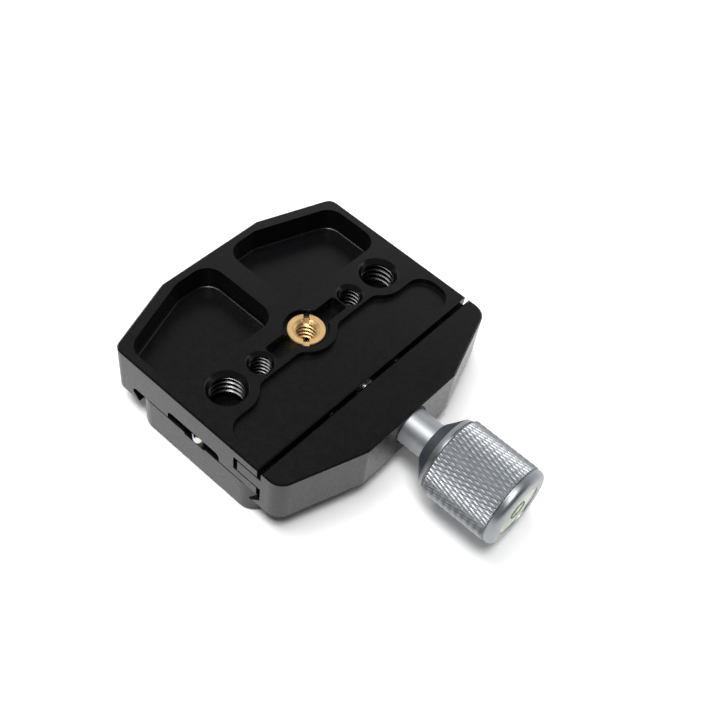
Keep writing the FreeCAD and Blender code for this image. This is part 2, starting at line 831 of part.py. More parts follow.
def make_thread_reducer():
    """Brass bushing with a screwdriver slot, turned so that the slot lies as in the real one."""
    body = new_body("thread_reducer")
    top = top_level - size("bushing_drop")
    ring = new_sketch(body, "XY_Plane", "bushing_outline", top)
    draw_circle(ring, ZERO, ZERO, size("bushing_radius"))
    draw_circle(ring, ZERO, ZERO, size("small_hole_radius"))
    add_feature(body, "Pad", "bushing", ring, size("bushing_length"), reverse=True)
    rim = (size("bushing_radius").value,)
    dress(body, "Chamfer", "bushing_bevel", size("hole_bevel"), lambda edge: is_rim(edge, top, rim))
    slot = new_sketch(body, "XY_Plane", "bushing_slot_outline", top)
    half = size("bushing_slot_width") / 2
    reach = size("bushing_radius") + size("cut_margin")
    draw_box(slot, -reach, reach, -half, half)
    add_feature(body, "Pocket", "bushing_slot", slot, size("bushing_slot_depth"))
    body.Placement.Rotation = FreeCAD.Rotation(FreeCAD.Vector(0, 0, 1), size("bushing_slot_turn").value)
    bind(body, "Placement.Rotation.Angle", size("bushing_slot_turn"))
    return body


def pad_corners(sign):
    """Corners of a rubber strip's outline on one side of the plate."""
    half = plate_end - size("pad_inset")
    centre = size("pad_centre") * sign - size("plate_shift")
    low = centre - size("pad_width") / 2
    high = centre + size("pad_width") / 2
    return [(-half, low), (half, low), (half, high), (-half, high)]


def stop_place():
    """Distance of the stop screws from x = 0."""
    return plate_end - size("stop_inset")


def make_dovetail_plate():
    """Quick-release plate with V-grooved sides, wells for its screws and inlays for the strips."""
    body = new_body("dovetail_plate")
    margin = size("cut_margin")
    shift = size("plate_shift")
    half = size("plate_half")
    middle = -shift
    outline = new_sketch(body, "XY_Plane", "plate_outline", plate_bottom)
    draw_box(outline, -plate_end, plate_end, middle - half, middle + half)
    add_feature(body, "Pad", "plate_block", outline, size("plate_thick"))
    places = [(plate_end, middle - half), (plate_end, middle + half)]
    dress(body, "Fillet", "plate_round", size("plate_corner"), lambda edge: stands_at(edge, places))
    dress(body, "Chamfer", "plate_edges", size("plate_bevel"),
          lambda edge: lies_at(edge, seat_level) or lies_at(edge, plate_bottom))
    grooves = new_sketch(body, "YZ_Plane", "plate_groove_outline", plate_end + margin)
    depth = half - size("plate_neck_half")
    neck_top = rim_level - depth
    neck_low = neck_top - size("plate_neck_flat")
    for sign in (1, -1):
        far = middle + (half + margin) * sign
        neck = middle + size("plate_neck_half") * sign
        draw_polygon(grooves, [
            (far, rim_level + margin),
            (neck, neck_top),
            (neck, neck_low),
            (far, neck_low - depth - margin),
        ])
    add_feature(body, "Pocket", "plate_grooves", grooves)
    wells = new_sketch(body, "XY_Plane", "stop_wells_outline", seat_level)
    holes = new_sketch(body, "XY_Plane", "stop_holes_outline", seat_level)
    for sign in (1, -1):
        draw_circle(wells, stop_place() * sign, middle, size("stop_well_radius"))
        draw_circle(holes, stop_place() * sign, middle, size("stop_shank_radius"))
    add_feature(body, "Pocket", "stop_wells", wells, size("stop_well_depth"))
    add_feature(body, "Pocket", "stop_holes", holes, size("stop_well_depth") + size("stop_shank_length"))
    well = new_sketch(body, "XY_Plane", "camera_well_outline", seat_level)
    draw_circle(well, ZERO, middle, size("camera_well_radius"))
    add_feature(body, "Pocket", "camera_well", well, size("plate_thick") - size("camera_web"))
    thread = new_sketch(body, "XY_Plane", "camera_thread_outline", seat_level)
    draw_circle(thread, ZERO, middle, size("camera_thread_radius") + size("run_clearance"))
    add_feature(body, "Pocket", "camera_thread", thread)
    inlays = new_sketch(body, "XY_Plane", "inlay_outline", plate_bottom)
    for sign in (1, -1):
        draw_polygon(inlays, pad_corners(sign))
    add_feature(body, "Pocket", "inlays", inlays, size("pad_inlay"), reverse=True)
    places = pad_corners(1) + pad_corners(-1)
    dress(body, "Fillet", "inlay_round", size("pad_corner"), lambda edge: stands_at(edge, places))
    return body


def make_slotted_screw(name, x, top, head, head_thick, shank, bottom, slot_width, slot_depth):
    """Upright screw with a slotted cylindrical head; its shank ends at the bottom level."""
    body = new_body(name)
    upper = new_sketch(body, "XY_Plane", name + "_head_outline", top)
    draw_circle(upper, ZERO, ZERO, head)
    add_feature(body, "Pad", name + "_head", upper, head_thick, reverse=True)
    lower = new_sketch(body, "XY_Plane", name + "_shank_outline", top - head_thick)
    draw_circle(lower, ZERO, ZERO, shank)
    add_feature(body, "Pad", name + "_shank", lower, top - head_thick - bottom, reverse=True)
    slot = new_sketch(body, "XY_Plane", name + "_slot_outline", top)
    reach = head + size("cut_margin")
    draw_box(slot, -reach, reach, -slot_width / 2, slot_width / 2)
    add_feature(body, "Pocket", name + "_slot", slot, slot_depth)
    bind(body, "Placement.Base.x", x)
    bind(body, "Placement.Base.y", -size("plate_shift"))
    return body


def make_stop_screw(name, sign):
    """Stop screw whose head stands in the clamp's channel."""
    floor = seat_level - size("stop_well_depth")
    return make_slotted_screw(
        name, stop_place() * sign, floor + size("stop_head_height"), size("stop_head_radius"),
        size("stop_head_height"), size("stop_shank_radius"), floor - size("stop_shank_length"),
        size("stop_slot_width"), size("stop_slot_depth"))


def make_camera_screw():
    """Camera screw, wound back until its tip is level with the plate."""
    return make_slotted_screw(
        "camera_screw", ZERO, seat_level - size("camera_head_drop"), size("camera_head_radius"),
        size("camera_head_thick"), size("camera_thread_radius"), plate_bottom,
        size("camera_slot_width"), size("camera_slot_depth"))


def make_pad(name, sign):
    """Rubber strip let into the plate's camera side."""
    body = new_body(name)
    outline = new_sketch(body, "XY_Plane", name + "_outline")
    draw_polygon(outline, pad_corners(sign))
    add_feature(body, "Pad", name + "_strip", outline, size("pad_proud") + size("pad_inlay"))
    places = pad_corners(sign)
    dress(body, "Fillet", name + "_round", size("pad_corner"), lambda edge: stands_at(edge, places))
    return body


def make_all():
    """Build every sub-part and return them."""
    screw_radius = size("screw_radius")
    sleeve_radius = size("sleeve_radius")
    washer_start = jaw_front - size("sleeve_seat")
    washer_hole = screw_radius + size("screw_hole_clearance")
    pieces = [make_clamp_body(), make_movable_jaw(), make_clamp_screw(), make_screw_clip()]
    pieces.append(make_ring("thrust_washer", washer_start, sleeve_start, washer_hole, sleeve_radius))
    pieces.append(make_ring("knob_sleeve", sleeve_start, collar_start, screw_radius, sleeve_radius))
    pieces.append(turned_body("knob_collar", [
        (-collar_start, screw_radius),
        (-collar_start, sleeve_radius + size("collar_step")),
        (-knob_start, size("collar_radius")),
        (-knob_start, screw_radius),
    ]))
    pieces.append(make_knob_grip())
    pieces.extend(make_level())
    pieces.extend([make_spring("right_spring", 1), make_spring("left_spring", -1)])
    pieces.append(make_thread_reducer())
    pieces.append(make_dovetail_plate())
    pieces.extend([make_stop_screw("right_stop_screw", 1), make_stop_screw("left_stop_screw", -1)])
    pieces.append(make_camera_screw())
    pieces.extend([make_pad("rear_pad", 1), make_pad("front_pad", -1)])
    doc.recompute()
    return pieces


def write_parts(pieces):
    """Check the document and write each sub-part to its own file."""
    failed = [item.Name for item in doc.Objects if "Invalid" in item.State or "Error" in item.State]
    if failed:
        raise RuntimeError("not built: " + ", ".join(failed))
    os.makedirs("parts", exist_ok=True)
    for piece in pieces:
        shape = piece.Shape
        if shape.isNull() or not shape.isValid() or shape.Volume <= 0:
            raise RuntimeError(f"{piece.Label} has no valid solid")
        shape.exportStep(f"parts/{piece.Label}.step")
        print(f"{piece.Label}: {shape.Volume:.1f} mm3, {len(shape.Solids)} solid, {len(shape.Faces)} faces")


write_parts(make_all())
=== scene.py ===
"""Looks of a screw-knob camera quick mount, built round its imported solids.

The clamp lies upside down on its plate: the mounting face is up, and the knob points to -Y.
Sizes are in millimetres, and become metres where a mesh or a node needs them.
"""

import logging
import math
from collections.abc import Callable, Iterable, Mapping, Sequence
from dataclasses import dataclass
from enum import Enum
from typing import Any, ClassVar

import bmesh
import bpy
from bmesh.types import BMEdge, BMesh
from bpy.types import Material, Node, NodeSocket, NodeTree, World
from mathutils import Matrix, Vector


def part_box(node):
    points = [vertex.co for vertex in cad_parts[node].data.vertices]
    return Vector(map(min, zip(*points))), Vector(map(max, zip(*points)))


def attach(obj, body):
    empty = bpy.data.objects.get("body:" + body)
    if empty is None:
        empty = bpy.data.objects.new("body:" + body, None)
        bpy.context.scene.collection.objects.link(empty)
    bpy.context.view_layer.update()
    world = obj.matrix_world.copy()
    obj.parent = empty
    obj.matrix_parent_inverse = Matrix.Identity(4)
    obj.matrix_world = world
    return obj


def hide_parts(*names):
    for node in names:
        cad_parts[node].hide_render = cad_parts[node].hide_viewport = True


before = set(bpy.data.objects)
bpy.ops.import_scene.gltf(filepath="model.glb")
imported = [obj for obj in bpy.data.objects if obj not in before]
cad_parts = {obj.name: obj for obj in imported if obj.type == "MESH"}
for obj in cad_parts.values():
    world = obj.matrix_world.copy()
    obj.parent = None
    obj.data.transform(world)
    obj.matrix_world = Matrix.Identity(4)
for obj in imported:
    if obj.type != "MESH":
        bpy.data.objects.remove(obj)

LOG = logging.getLogger("quick_mount")
MM = 0.001
# Corners closer than this many metres are one corner.
MERGE_DISTANCE = 1e-7
# Depth in millimetres of a thread's foot inside the wall that carries it.
FOOT_SINK = 0.04

Point = tuple[float, float, float]


class Body(Enum):
    """Bodies that carry the pieces made here."""

    CLAMP = "clamp"
    JAW = "jaw"
    KNOB = "knob"


class Axis(Enum):
    """Axis that a lathe turned a piece about."""

    Y = "along the screw"
    Z = "upright"


def linear(colour: str) -> tuple[float, float, float, float]:
    """Turn an sRGB hex colour into linear RGBA.

    Args:
        colour: Colour such as "#1c1c1d".

    Returns:
        Linear red, green, blue and an alpha of 1.
    """
    shares = [int(colour[i : i + 2], 16) / 255 for i in (1, 3, 5)]
    red, green, blue = (s / 12.92 if s <= 0.04045 else ((s + 0.055) / 1.055) ** 2.4 for s in shares)
    return (red, green, blue, 1.0)


def add_node(
    tree: NodeTree, kind: str, inputs: Mapping[str | int, Any] | None = None, **settings: Any
) -> Node:
    """Add a node, set its properties, and fill or link its inputs.

    Args:
        tree: Tree that gets the node.
        kind: Blender's type name for the node.
        inputs: Values, or output sockets to link, by input name or number.
        settings: Properties of the node.

    Returns:
        The new node.
    """
    node = tree.nodes.new(kind)
    for name, value in settings.items():
        setattr(node, name, value)
    for name, value in (inputs or {}).items():
        if isinstance(value, NodeSocket):
            tree.links.new(value, node.inputs[name])
        else:
            node.inputs[name].default_value = value
    return node


def blank_tree(holder: Material | World) -> NodeTree:
    """Give a material or world an empty node tree.

    Args:
        holder: Material or world to clear.

    Returns:
        Its node tree, with no nodes.
    """
    holder.use_nodes = True
    holder.node_tree.nodes.clear()
    return holder.node_tree


@dataclass(frozen=True)
class Finish:
    """What a surface is made of and how it was made.

    Attributes:
        name: Name of the material, for the real material and its surface.
        slot: The record's material slot; not used.
        colour: Main sRGB colour.
        second_colour: sRGB colour that the main one wanders to.
        roughness: Middle roughness.
        patch: Width of one patch of the mottle, in millimetres.
        swing: Share by which the roughness wanders either way.
        cloud_span: Values of the mottle's pattern between which the roughness wanders.
    """

    name: str
    slot: str
    colour: str
    second_colour: str
    roughness: float
    patch: ClassVar[float] = 1.6
    swing: ClassVar[float] = 0.06
    cloud_span: ClassVar[tuple[float, float]] = (0.3, 0.7)

    def material(self) -> Material:
        """Return the finish's material, made on first use."""
        return bpy.data.materials.get(self.name) or self.make()

    def make(self) -> Material:
        """Make the material.

        Returns:
            New material with the finish's nodes.
        """
        material = bpy.data.materials.new(self.name)
        tree = blank_tree(material)
        place = add_node(tree, "ShaderNodeTexCoord").outputs["Object"]
        shader = self.shade(tree, place)
        add_node(tree, "ShaderNodeOutputMaterial", {"Surface": shader.outputs[0]})
        return material

    def shade(self, tree: NodeTree, place: NodeSocket) -> Node:
        """Add the shader, with its patterns at object coordinates in metres, and return it."""
        raise NotImplementedError

    def mottle(self, tree: NodeTree, place: NodeSocket) -> tuple[NodeSocket, NodeSocket]:
        """Add colour and roughness that wander over the surface.

        Args:
            tree: Tree of the material.
            place: Coordinates of the pattern, in metres.

        Returns:
            Colour and roughness sockets.
        """
        cloud = add_node(
            tree,
            "ShaderNodeTexNoise",
            {"Vector": place, "Scale": 1 / (self.patch * MM), "Detail": 3.0, "Roughness": 0.6},
        )
        colour = add_node(
            tree,
            "ShaderNodeMix",
            {0: cloud.outputs["Fac"], "A": linear(self.colour), "B": linear(self.second_colour)},
            data_type="RGBA",
        )
        roughness = add_node(
            tree,
            "ShaderNodeMapRange",
            {
                "Value": cloud.outputs["Fac"],
                "From Min": self.cloud_span[0],
                "From Max": self.cloud_span[1],
                "To Min": self.roughness * (1 - self.swing),
                "To Max": self.roughness * (1 + self.swing),
            },
        )
        return colour.outputs["Result"], roughness.outputs["Result"]


@dataclass(frozen=True)
class BlastedAnodising(Finish):
    """Milled aluminium, blasted with fine beads, then anodised and dyed.

    Attributes:
        grit: Width of one bead mark in millimetres.
        ior: Index of the clear oxide layer.
        grain_strength: Strength of the marks' bump.
        grain_depth: Depth of a mark as a share of its width.
    """

    grit: float = 0.3
    ior: float = 1.55
    grain_strength: ClassVar[float] = 0.07
    grain_depth: ClassVar[float] = 0.25

    def shade(self, tree: NodeTree, place: NodeSocket) -> Node:
        """Add a dark satin shader with a fine blasted grain.

        Args:
            tree: Tree of the material.
            place: Object coordinates, in metres.

        Returns:
            Shader node.
        """
        colour, roughness = self.mottle(tree, place)
        # A bead mark is about 0.05 mm; it is drawn several times wider, to show as a faint grain.
        grain = add_node(
            tree,
            "ShaderNodeTexNoise",
            {"Vector": place, "Scale": 1 / (self.grit * MM), "Detail": 2.0, "Roughness": 0.7},
        )
        bump = add_node(
            tree,
            "ShaderNodeBump",
            {
                "Height": grain.outputs["Fac"],
                "Strength": self.grain_strength,
                "Distance": self.grit * self.grain_depth * MM,
            },
        )
        return add_node(
            tree,
            "ShaderNodeBsdfPrincipled",
            {
                "Base Color": colour,
                "Roughness": roughness,
                "IOR": self.ior,
                "Normal": bump.outputs["Normal"],
            },
        )


@dataclass(frozen=True)
class TurnedMetal(Finish):
    """Metal turned on a lathe, with fine tool lines round its axis.

    Attributes:
        axis: Axis of the lathe.
        centre: Point on that axis, in millimetres.
        feed: Spacing of the tool lines in millimetres.
        line_strength: Strength of the lines' bump.
        barrel_share: Roughness of the round sides as a share of that of the faced ends.
        line_depth: Depth of a line as a share of the feed.
    """

    axis: Axis = Axis.Y
    centre: Point = (0.0, 0.0, 15.1)
    feed: float = 0.25
    line_strength: float = 0.1
    barrel_share: float = 1.0
    line_depth: ClassVar[float] = 0.3

    def shade(self, tree: NodeTree, place: NodeSocket) -> Node:
        """Add a metal shader with tool lines along the axis and round it.

        Args:
            tree: Tree of the material.
            place: Object coordinates, in metres.

        Returns:
            Shader node.
        """
        colour, roughness = self.mottle(tree, place)
        offset = [-c * MM for c in self.centre]
        mapping = add_node(tree, "ShaderNodeMapping", {"Vector": place, "Location": offset})
        local = mapping.outputs["Vector"]
        across = (1.0, 0.0, 1.0) if self.axis is Axis.Y else (1.0, 1.0, 0.0)
        along = (0.0, 1.0, 0.0) if self.axis is Axis.Y else (0.0, 0.0, 1.0)
        flat = add_node(tree, "ShaderNodeVectorMath", {0: local, 1: across}, operation="MULTIPLY")
        radius = add_node(tree, "ShaderNodeVectorMath", {0: flat.outputs[0]}, operation="LENGTH")
        height = add_node(tree, "ShaderNodeVectorMath", {0: local, 1: along}, operation="DOT_PRODUCT")
        travel = add_node(
            tree,
            "ShaderNodeMath",
            {0: radius.outputs["Value"], 1: height.outputs["Value"]},
            operation="ADD",
        )
        # Tool lines of 0.05 mm are drawn at the feed's wider spacing, so that they show.
        lines = add_node(
            tree,
            "ShaderNodeTexNoise",
            {"W": travel.outputs[0], "Scale": 1 / (self.feed * MM), "Detail": 2.0},
            noise_dimensions="1D",
        )
        facing = add_node(tree, "ShaderNodeTexCoord").outputs["Normal"]
        end_on = add_node(tree, "ShaderNodeVectorMath", {0: facing, 1: along}, operation="DOT_PRODUCT")
        turned = add_node(tree, "ShaderNodeMath", {0: end_on.outputs["Value"]}, operation="ABSOLUTE")
        share = add_node(
            tree,
            "ShaderNodeMapRange",
            {"Value": turned.outputs[0], "To Min": self.barrel_share, "To Max": 1.0},
        )
        polish = add_node(
            tree, "ShaderNodeMath", {0: roughness, 1: share.outputs["Result"]}, operation="MULTIPLY"
        )
        bump = add_node(
            tree,
            "ShaderNodeBump",
            {
                "Height": lines.outputs["Fac"],
                "Strength": self.line_strength,
                "Distance": self.feed * self.line_depth * MM,
            },
        )
        return add_node(
            tree,
            "ShaderNodeBsdfPrincipled",
            {
                "Base Color": colour,
                "Metallic": 1.0,
                "Roughness": polish.outputs[0],
                "Normal": bump.outputs["Normal"],
            },
        )


@dataclass(frozen=True)
class MouldedPlastic(Finish):
    """Moulded plastic, printed ink or rubber with a fine tooth.

    Attributes:
        ior: Index of the plastic.
        tooth: Width of the surface's tooth in millimetres.
        tooth_strength: Strength of the tooth's bump.
        glow: Weight of light scattered under the surface.
        glow_depth: Depth that the scattered light reaches, in millimetres.
        tooth_depth: Depth of the tooth as a share of its width.
    """

    ior: float = 1.5
    tooth: float = 0.4
    tooth_strength: float = 0.1
    glow: float = 0.0
    glow_depth: ClassVar[float] = 0.5
    tooth_depth: ClassVar[float] = 0.3
    patch: ClassVar[float] = 2.0

    def shade(self, tree: NodeTree, place: NodeSocket) -> Node:
        """Add a plastic shader with a faint tooth.

        Args:
            tree: Tree of the material.
            place: Object coordinates, in metres.

        Returns:
            Shader node.
        """
        colour, roughness = self.mottle(tree, place)
        grain = add_node(
            tree,
            "ShaderNodeTexNoise",
            {"Vector": place, "Scale": 1 / (self.tooth * MM), "Detail": 2.0},
        )
        bump = add_node(
            tree,
            "ShaderNodeBump",
            {
                "Height": grain.outputs["Fac"],
                "Strength": self.tooth_strength,
                "Distance": self.tooth * self.tooth_depth * MM,
            },
        )
        return add_node(
            tree,
            "ShaderNodeBsdfPrincipled",
            {
                "Base Color": colour,
                "Roughness": roughness,
                "IOR": self.ior,
                "Subsurface Weight": self.glow,
                "Subsurface Scale": self.glow_depth * MM,
                "Normal": bump.outputs["Normal"],
            },
        )


@dataclass(frozen=True)
class ClearMedium(Finish):
    """Clear acrylic, liquid or air.

    Attributes:
        ior: Index of the medium.
        body: Share of light that the medium itself scatters.
    """

    ior: float = 1.49
    body: float = 0.0
    patch: ClassVar[float] = 4.0

    def shade(self, tree: NodeTree, place: NodeSocket) -> Node:
        """Add a clear shader, tinted by its colours.

        Args:
            tree: Tree of the material.
            place: Object coordinates, in metres.

        Returns:
            Shader node.
        """
        colour, roughness = self.mottle(tree, place)
        through = add_node(tree, "ShaderNodeBsdfTransparent", {"Color": colour})
        milk = add_node(tree, "ShaderNodeBsdfDiffuse", {"Color": colour})
        medium = add_node(
            tree, "ShaderNodeMixShader", {0: self.body, 1: through.outputs[0], 2: milk.outputs[0]}
        )
        mirror = add_node(
            tree, "ShaderNodeBsdfGlossy", {"Color": linear("#ffffff"), "Roughness": roughness}
        )
        edge = add_node(tree, "ShaderNodeFresnel", {"IOR": self.ior})
        # Only the outer side mirrors: from within, the medium is left without a reflection.
        inside = add_node(tree, "ShaderNodeNewGeometry").outputs["Backfacing"]
        outside = add_node(tree, "ShaderNodeMath", {0: 1.0, 1: inside}, operation="SUBTRACT")
        share = add_node(
            tree, "ShaderNodeMath", {0: edge.outputs[0], 1: outside.outputs[0]}, operation="MULTIPLY"
        )
        return add_node(
            tree, "ShaderNodeMixShader", {0: share.outputs[0], 1: medium.outputs[0], 2: mirror.outputs[0]}
        )


# Black anodised aluminium, bead blasted: dark grey satin that goes pale at a glancing angle.
BLACK = BlastedAnodising(
    "black_anodised_aluminium_bead_blasted",
    "black_anodised_aluminium",
    "#08080a",
    "#0b0b0d",
    0.27,
    ior=1.47,
)
# Black anodised aluminium, tapped: smooth, so that the thread's edges glint, and painted darker than the
# body's black as shade inside the holes.
TAPPED_AND_SHADED = BlastedAnodising(
    "black_anodised_aluminium_tapped_and_shaded", "black_anodised_aluminium", "#040405", "#060607", 0.22, ior=1.76
)
# Silver anodised aluminium, turned: a soft cool grey metal with broad highlights.
SILVER = TurnedMetal(
    "silver_anodised_aluminium_turned", "silver_anodised_aluminium", "#a8abaf", "#b2b5b9", 0.52
)
# Silver anodised aluminium, faced: the knob's smoother ends, with a narrow highlight on the rim; their
# darker tone is painted shade, the same silver made dimmer than on the barrel.
FACED_AND_SHADED = TurnedMetal(
    "silver_anodised_aluminium_faced_and_shaded", "silver_anodised_aluminium", "#94979b", "#9da0a4", 0.42
)
# Silver anodised aluminium, knurled: darker between the diamonds, with a glint on each tip.
KNURLED = TurnedMetal(
    "silver_anodised_aluminium_knurled", "silver_anodised_aluminium", "#a2a5a9", "#abaeb2", 0.46
)
# Grey anodised aluminium, satin: slate grey, darker than the knob beside it.
SLATE = BlastedAnodising(
    "grey_anodised_aluminium_satin", "grey_anodised_aluminium", "#3a3e44", "#41464c", 0.4, grit=0.2
)
# Stainless steel, turned: bright and a little warm.
STEEL = TurnedMetal("stainless_steel_turned", "turned_steel", "#d3d1cb", "#dedcd6", 0.22, feed=0.15)
# Spring steel, drawn wire: smooth and dull grey.
WIRE = TurnedMetal("spring_steel_drawn", "spring_steel", "#9b9d9f", "#a9abad", 0.3, line_strength=0.02)
# Brass, turned: pale yellow with fine rings on its face.
BRASS = TurnedMetal(
    "brass_turned",
    "turned_brass",
    "#eac287",
    "#f0cd96",
    0.5,
    axis=Axis.Z,
    centre=(0.0, 0.0, 0.0),
    feed=0.2,
    barrel_share=0.5,
)
# ABS, moulded: the level's pale case, a little shiny.
CASE = MouldedPlastic("abs_pale_moulded", "level_case", "#e4ebd2", "#ecf2de", 0.35, glow=0.2)
# Acrylic, moulded and polished: clear, with sharp reflections.
LENS = ClearMedium("acrylic_polished", "level_glass", "#fbfdf6", "#ffffff", 0.03)
# Spirit of the level: pale green and slightly milky.
LIQUID = ClearMedium("spirit_pale_green", "level_liquid", "#c9e39e", "#d3e9ae", 0.1, ior=1.1, body=0.9)
# Air in the level: a clear pocket that only its rim shows.
AIR = ClearMedium("air_pocket", "level_air", "#f4f8e6", "#ffffff", 0.02, ior=1.2)
# Printed ink: flat dark line on the lens.
INK = MouldedPlastic("ink_dark_printed", "printed_mark", "#2b3026", "#33382d", 0.5, tooth_strength=0.05)
# Rubber, moulded: matt black with a coarse tooth, for the plate's pads; the same black also paints the shade
# ring round the sleeve.
BLACK_RUBBER_AND_SHADE = MouldedPlastic(
    "rubber_black_moulded_and_shade",
    "black_rubber",
    "#17171a",
    "#1f1f21",
    0.75,
    ior=1.52,
    tooth=0.8,
    tooth_strength=0.35,
)


def dress(finish: Finish, *nodes: str) -> None:
    """Give CAD nodes a finish.

    Args:
        finish: Finish of the nodes.
        nodes: Names of the nodes.
    """
    for name in nodes:
        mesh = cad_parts[name].data
        mesh.materials.clear()
        mesh.materials.append(finish.material())
        LOG.info("%s: %s", name, finish.name)


def finish_piece(
    name: str,
    shape: BMesh,
    finish: Finish,
    body: Body,
    replaced: Sequence[str] = (),
    sharp_angle: float = 30.0,
    worked: Finish | None = None,
) -> None:
    """Make a shape into a piece of the object.

    Args:
        name: Name of the piece.
        shape: Closed mesh in metres, freed here.
        finish: Finish of the piece.
        body: Body that carries it.
        replaced: CAD nodes that it stands for.
        sharp_angle: Angle in degrees past which an edge looks sharp.
        worked: Finish of the faces with material number 1.
    """
    bmesh.ops.remove_doubles(shape, verts=shape.verts, dist=MERGE_DISTANCE)
    bmesh.ops.recalc_face_normals(shape, faces=shape.faces)
    mesh = bpy.data.meshes.new(name)
    shape.to_mesh(mesh)
    shape.free()
    mesh.shade_smooth()
    mesh.set_sharp_from_angle(angle=math.radians(sharp_angle))
    mesh.materials.append(finish.material())
    if worked:
        mesh.materials.append(worked.material())
    piece = bpy.data.objects.new(name, mesh)
    bpy.context.scene.collection.objects.link(piece)
    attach(piece, body.value)
    if replaced:
        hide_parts(*replaced)
    LOG.info("%s: %s, %d faces", name, finish.name, len(mesh.polygons))


def draw_line(shape: BMesh, points: Iterable[Point]) -> list[BMEdge]:
    """Draw an open line through points.

    Args:
        shape: Mesh that gets the line.
        points: Points in millimetres.

    Returns:
        Edges of the line, in order.
    """
    corners = [shape.verts.new(Vector(point) * MM) for point in points]
    return [shape.edges.new(pair) for pair in zip(corners, corners[1:])]


def draw_loop(shape: BMesh, points: Iterable[Point]) -> list[BMEdge]:
    """Draw a closed line through points.

    Args:
        shape: Mesh that gets the line.
        points: Points in millimetres.

    Returns:
        Edges of the line, in order.
    """
    edges = draw_line(shape, points)
    return [*edges, shape.edges.new((edges[-1].verts[1], edges[0].verts[0]))]


def take_in(shape: BMesh, other: BMesh) -> None:
    """Add one mesh to another.

    Args:
        shape: Mesh that takes in the other.
        other: Mesh to add, freed here.
    """
    carrier = bpy.data.meshes.new("carrier")
    other.to_mesh(carrier)
    other.free()
    shape.from_mesh(carrier)
    bpy.data.meshes.remove(carrier)


def spin_round(
    shape: BMesh,
    edges: Sequence[BMEdge],
    centre: Point,
    axis: Point,
    steps: int,
) -> None:
    """Spin edges a full turn.

    Args:
        shape: Mesh that holds the edges.
        edges: Edges to spin.
        centre: Point on the axis, in millimetres.
        axis: Direction of the axis.
        steps: Number of steps in the turn.
    """
    corners = dict.fromkeys(vert for edge in edges for vert in edge.verts)
    bmesh.ops.spin(
        shape,
        geom=[*corners, *edges],
        cent=Vector(centre) * MM,
        axis=axis,
        angle=math.tau,
        steps=steps,
        use_merge=True,
    )


@dataclass(frozen=True)
class Thread:
    """Ridge of a screw thread, wound along Z or Y.

    Attributes:
        root: Radius where the ridge stands on its wall, in millimetres.
        crest: Radius of the ridge's top.
        pitch: Rise of one turn.
        start: Lower end along the axis.
        end: Upper end along the axis.
        centre: Point on the axis.
        axis: Axis of the thread.
        steps: Steps in a turn.
        half_width: Half of the ridge's width at its foot, as a share of the pitch.
        half_crest: Half of the ridge's width at its top, as a share of the pitch.
        cuts: Points and outward directions of planes that cut the ridge.
    """

    root: float
    crest: float
    pitch: float
    start: float
    end: float
    centre: Point
    axis: Axis = Axis.Z
    steps: int = 80
    half_width: float = 0.47
    half_crest: float = 0.08
    cuts: Sequence[tuple[Vector, Vector]] = ()

    def along(self, offset: float, radius: float) -> Point:
        """Return a point at a place along the axis and a radius, in millimetres."""
        x, y, z = self.centre
        return (x + radius, y, offset) if self.axis is Axis.Z else (x + radius, offset, z)

    def wind(self, shape: BMesh) -> None:
        """Wind the ridge into a mesh, cut off flat at both ends.

        Args:
            shape: Mesh that gets the ridge.
        """
        ridge = bmesh.new()
        first = self.start - self.pitch
        foot = self.root + math.copysign(FOOT_SINK, self.root - self.crest)
        section = [
            (foot, -self.half_width),
            (self.crest, -self.half_crest),
            (self.crest, self.half_crest),
            (foot, self.half_width),
        ]
        points = [self.along(first + width * self.pitch, radius) for radius, width in section]
        edges = draw_loop(ridge, points)
        direction = Vector((0, 0, 1)) if self.axis is Axis.Z else Vector((0, 1, 0))
        turns = (self.end - self.start) / self.pitch + 2
        bmesh.ops.spin(
            ridge,
            geom=[*ridge.verts, *edges],
            cent=Vector(self.centre) * MM,
            axis=direction,
            dvec=direction * self.pitch * MM / self.steps,
            angle=math.tau * turns,
            steps=round(turns * self.steps),
        )
        ends = [(direction * self.start, -direction), (direction * self.end, direction)]
        for point, outwards in [*ends, *self.cuts]:
            cut = bmesh.ops.bisect_plane(
                ridge,
                geom=[*ridge.verts, *ridge.edges, *ridge.faces],
                plane_co=point * MM,
                plane_no=outwards,
                clear_outer=True,
            )
            rim = [part for part in cut["geom_cut"] if isinstance(part, BMEdge)]
            bmesh.ops.holes_fill(ridge, edges=rim)
        take_in(shape, ridge)


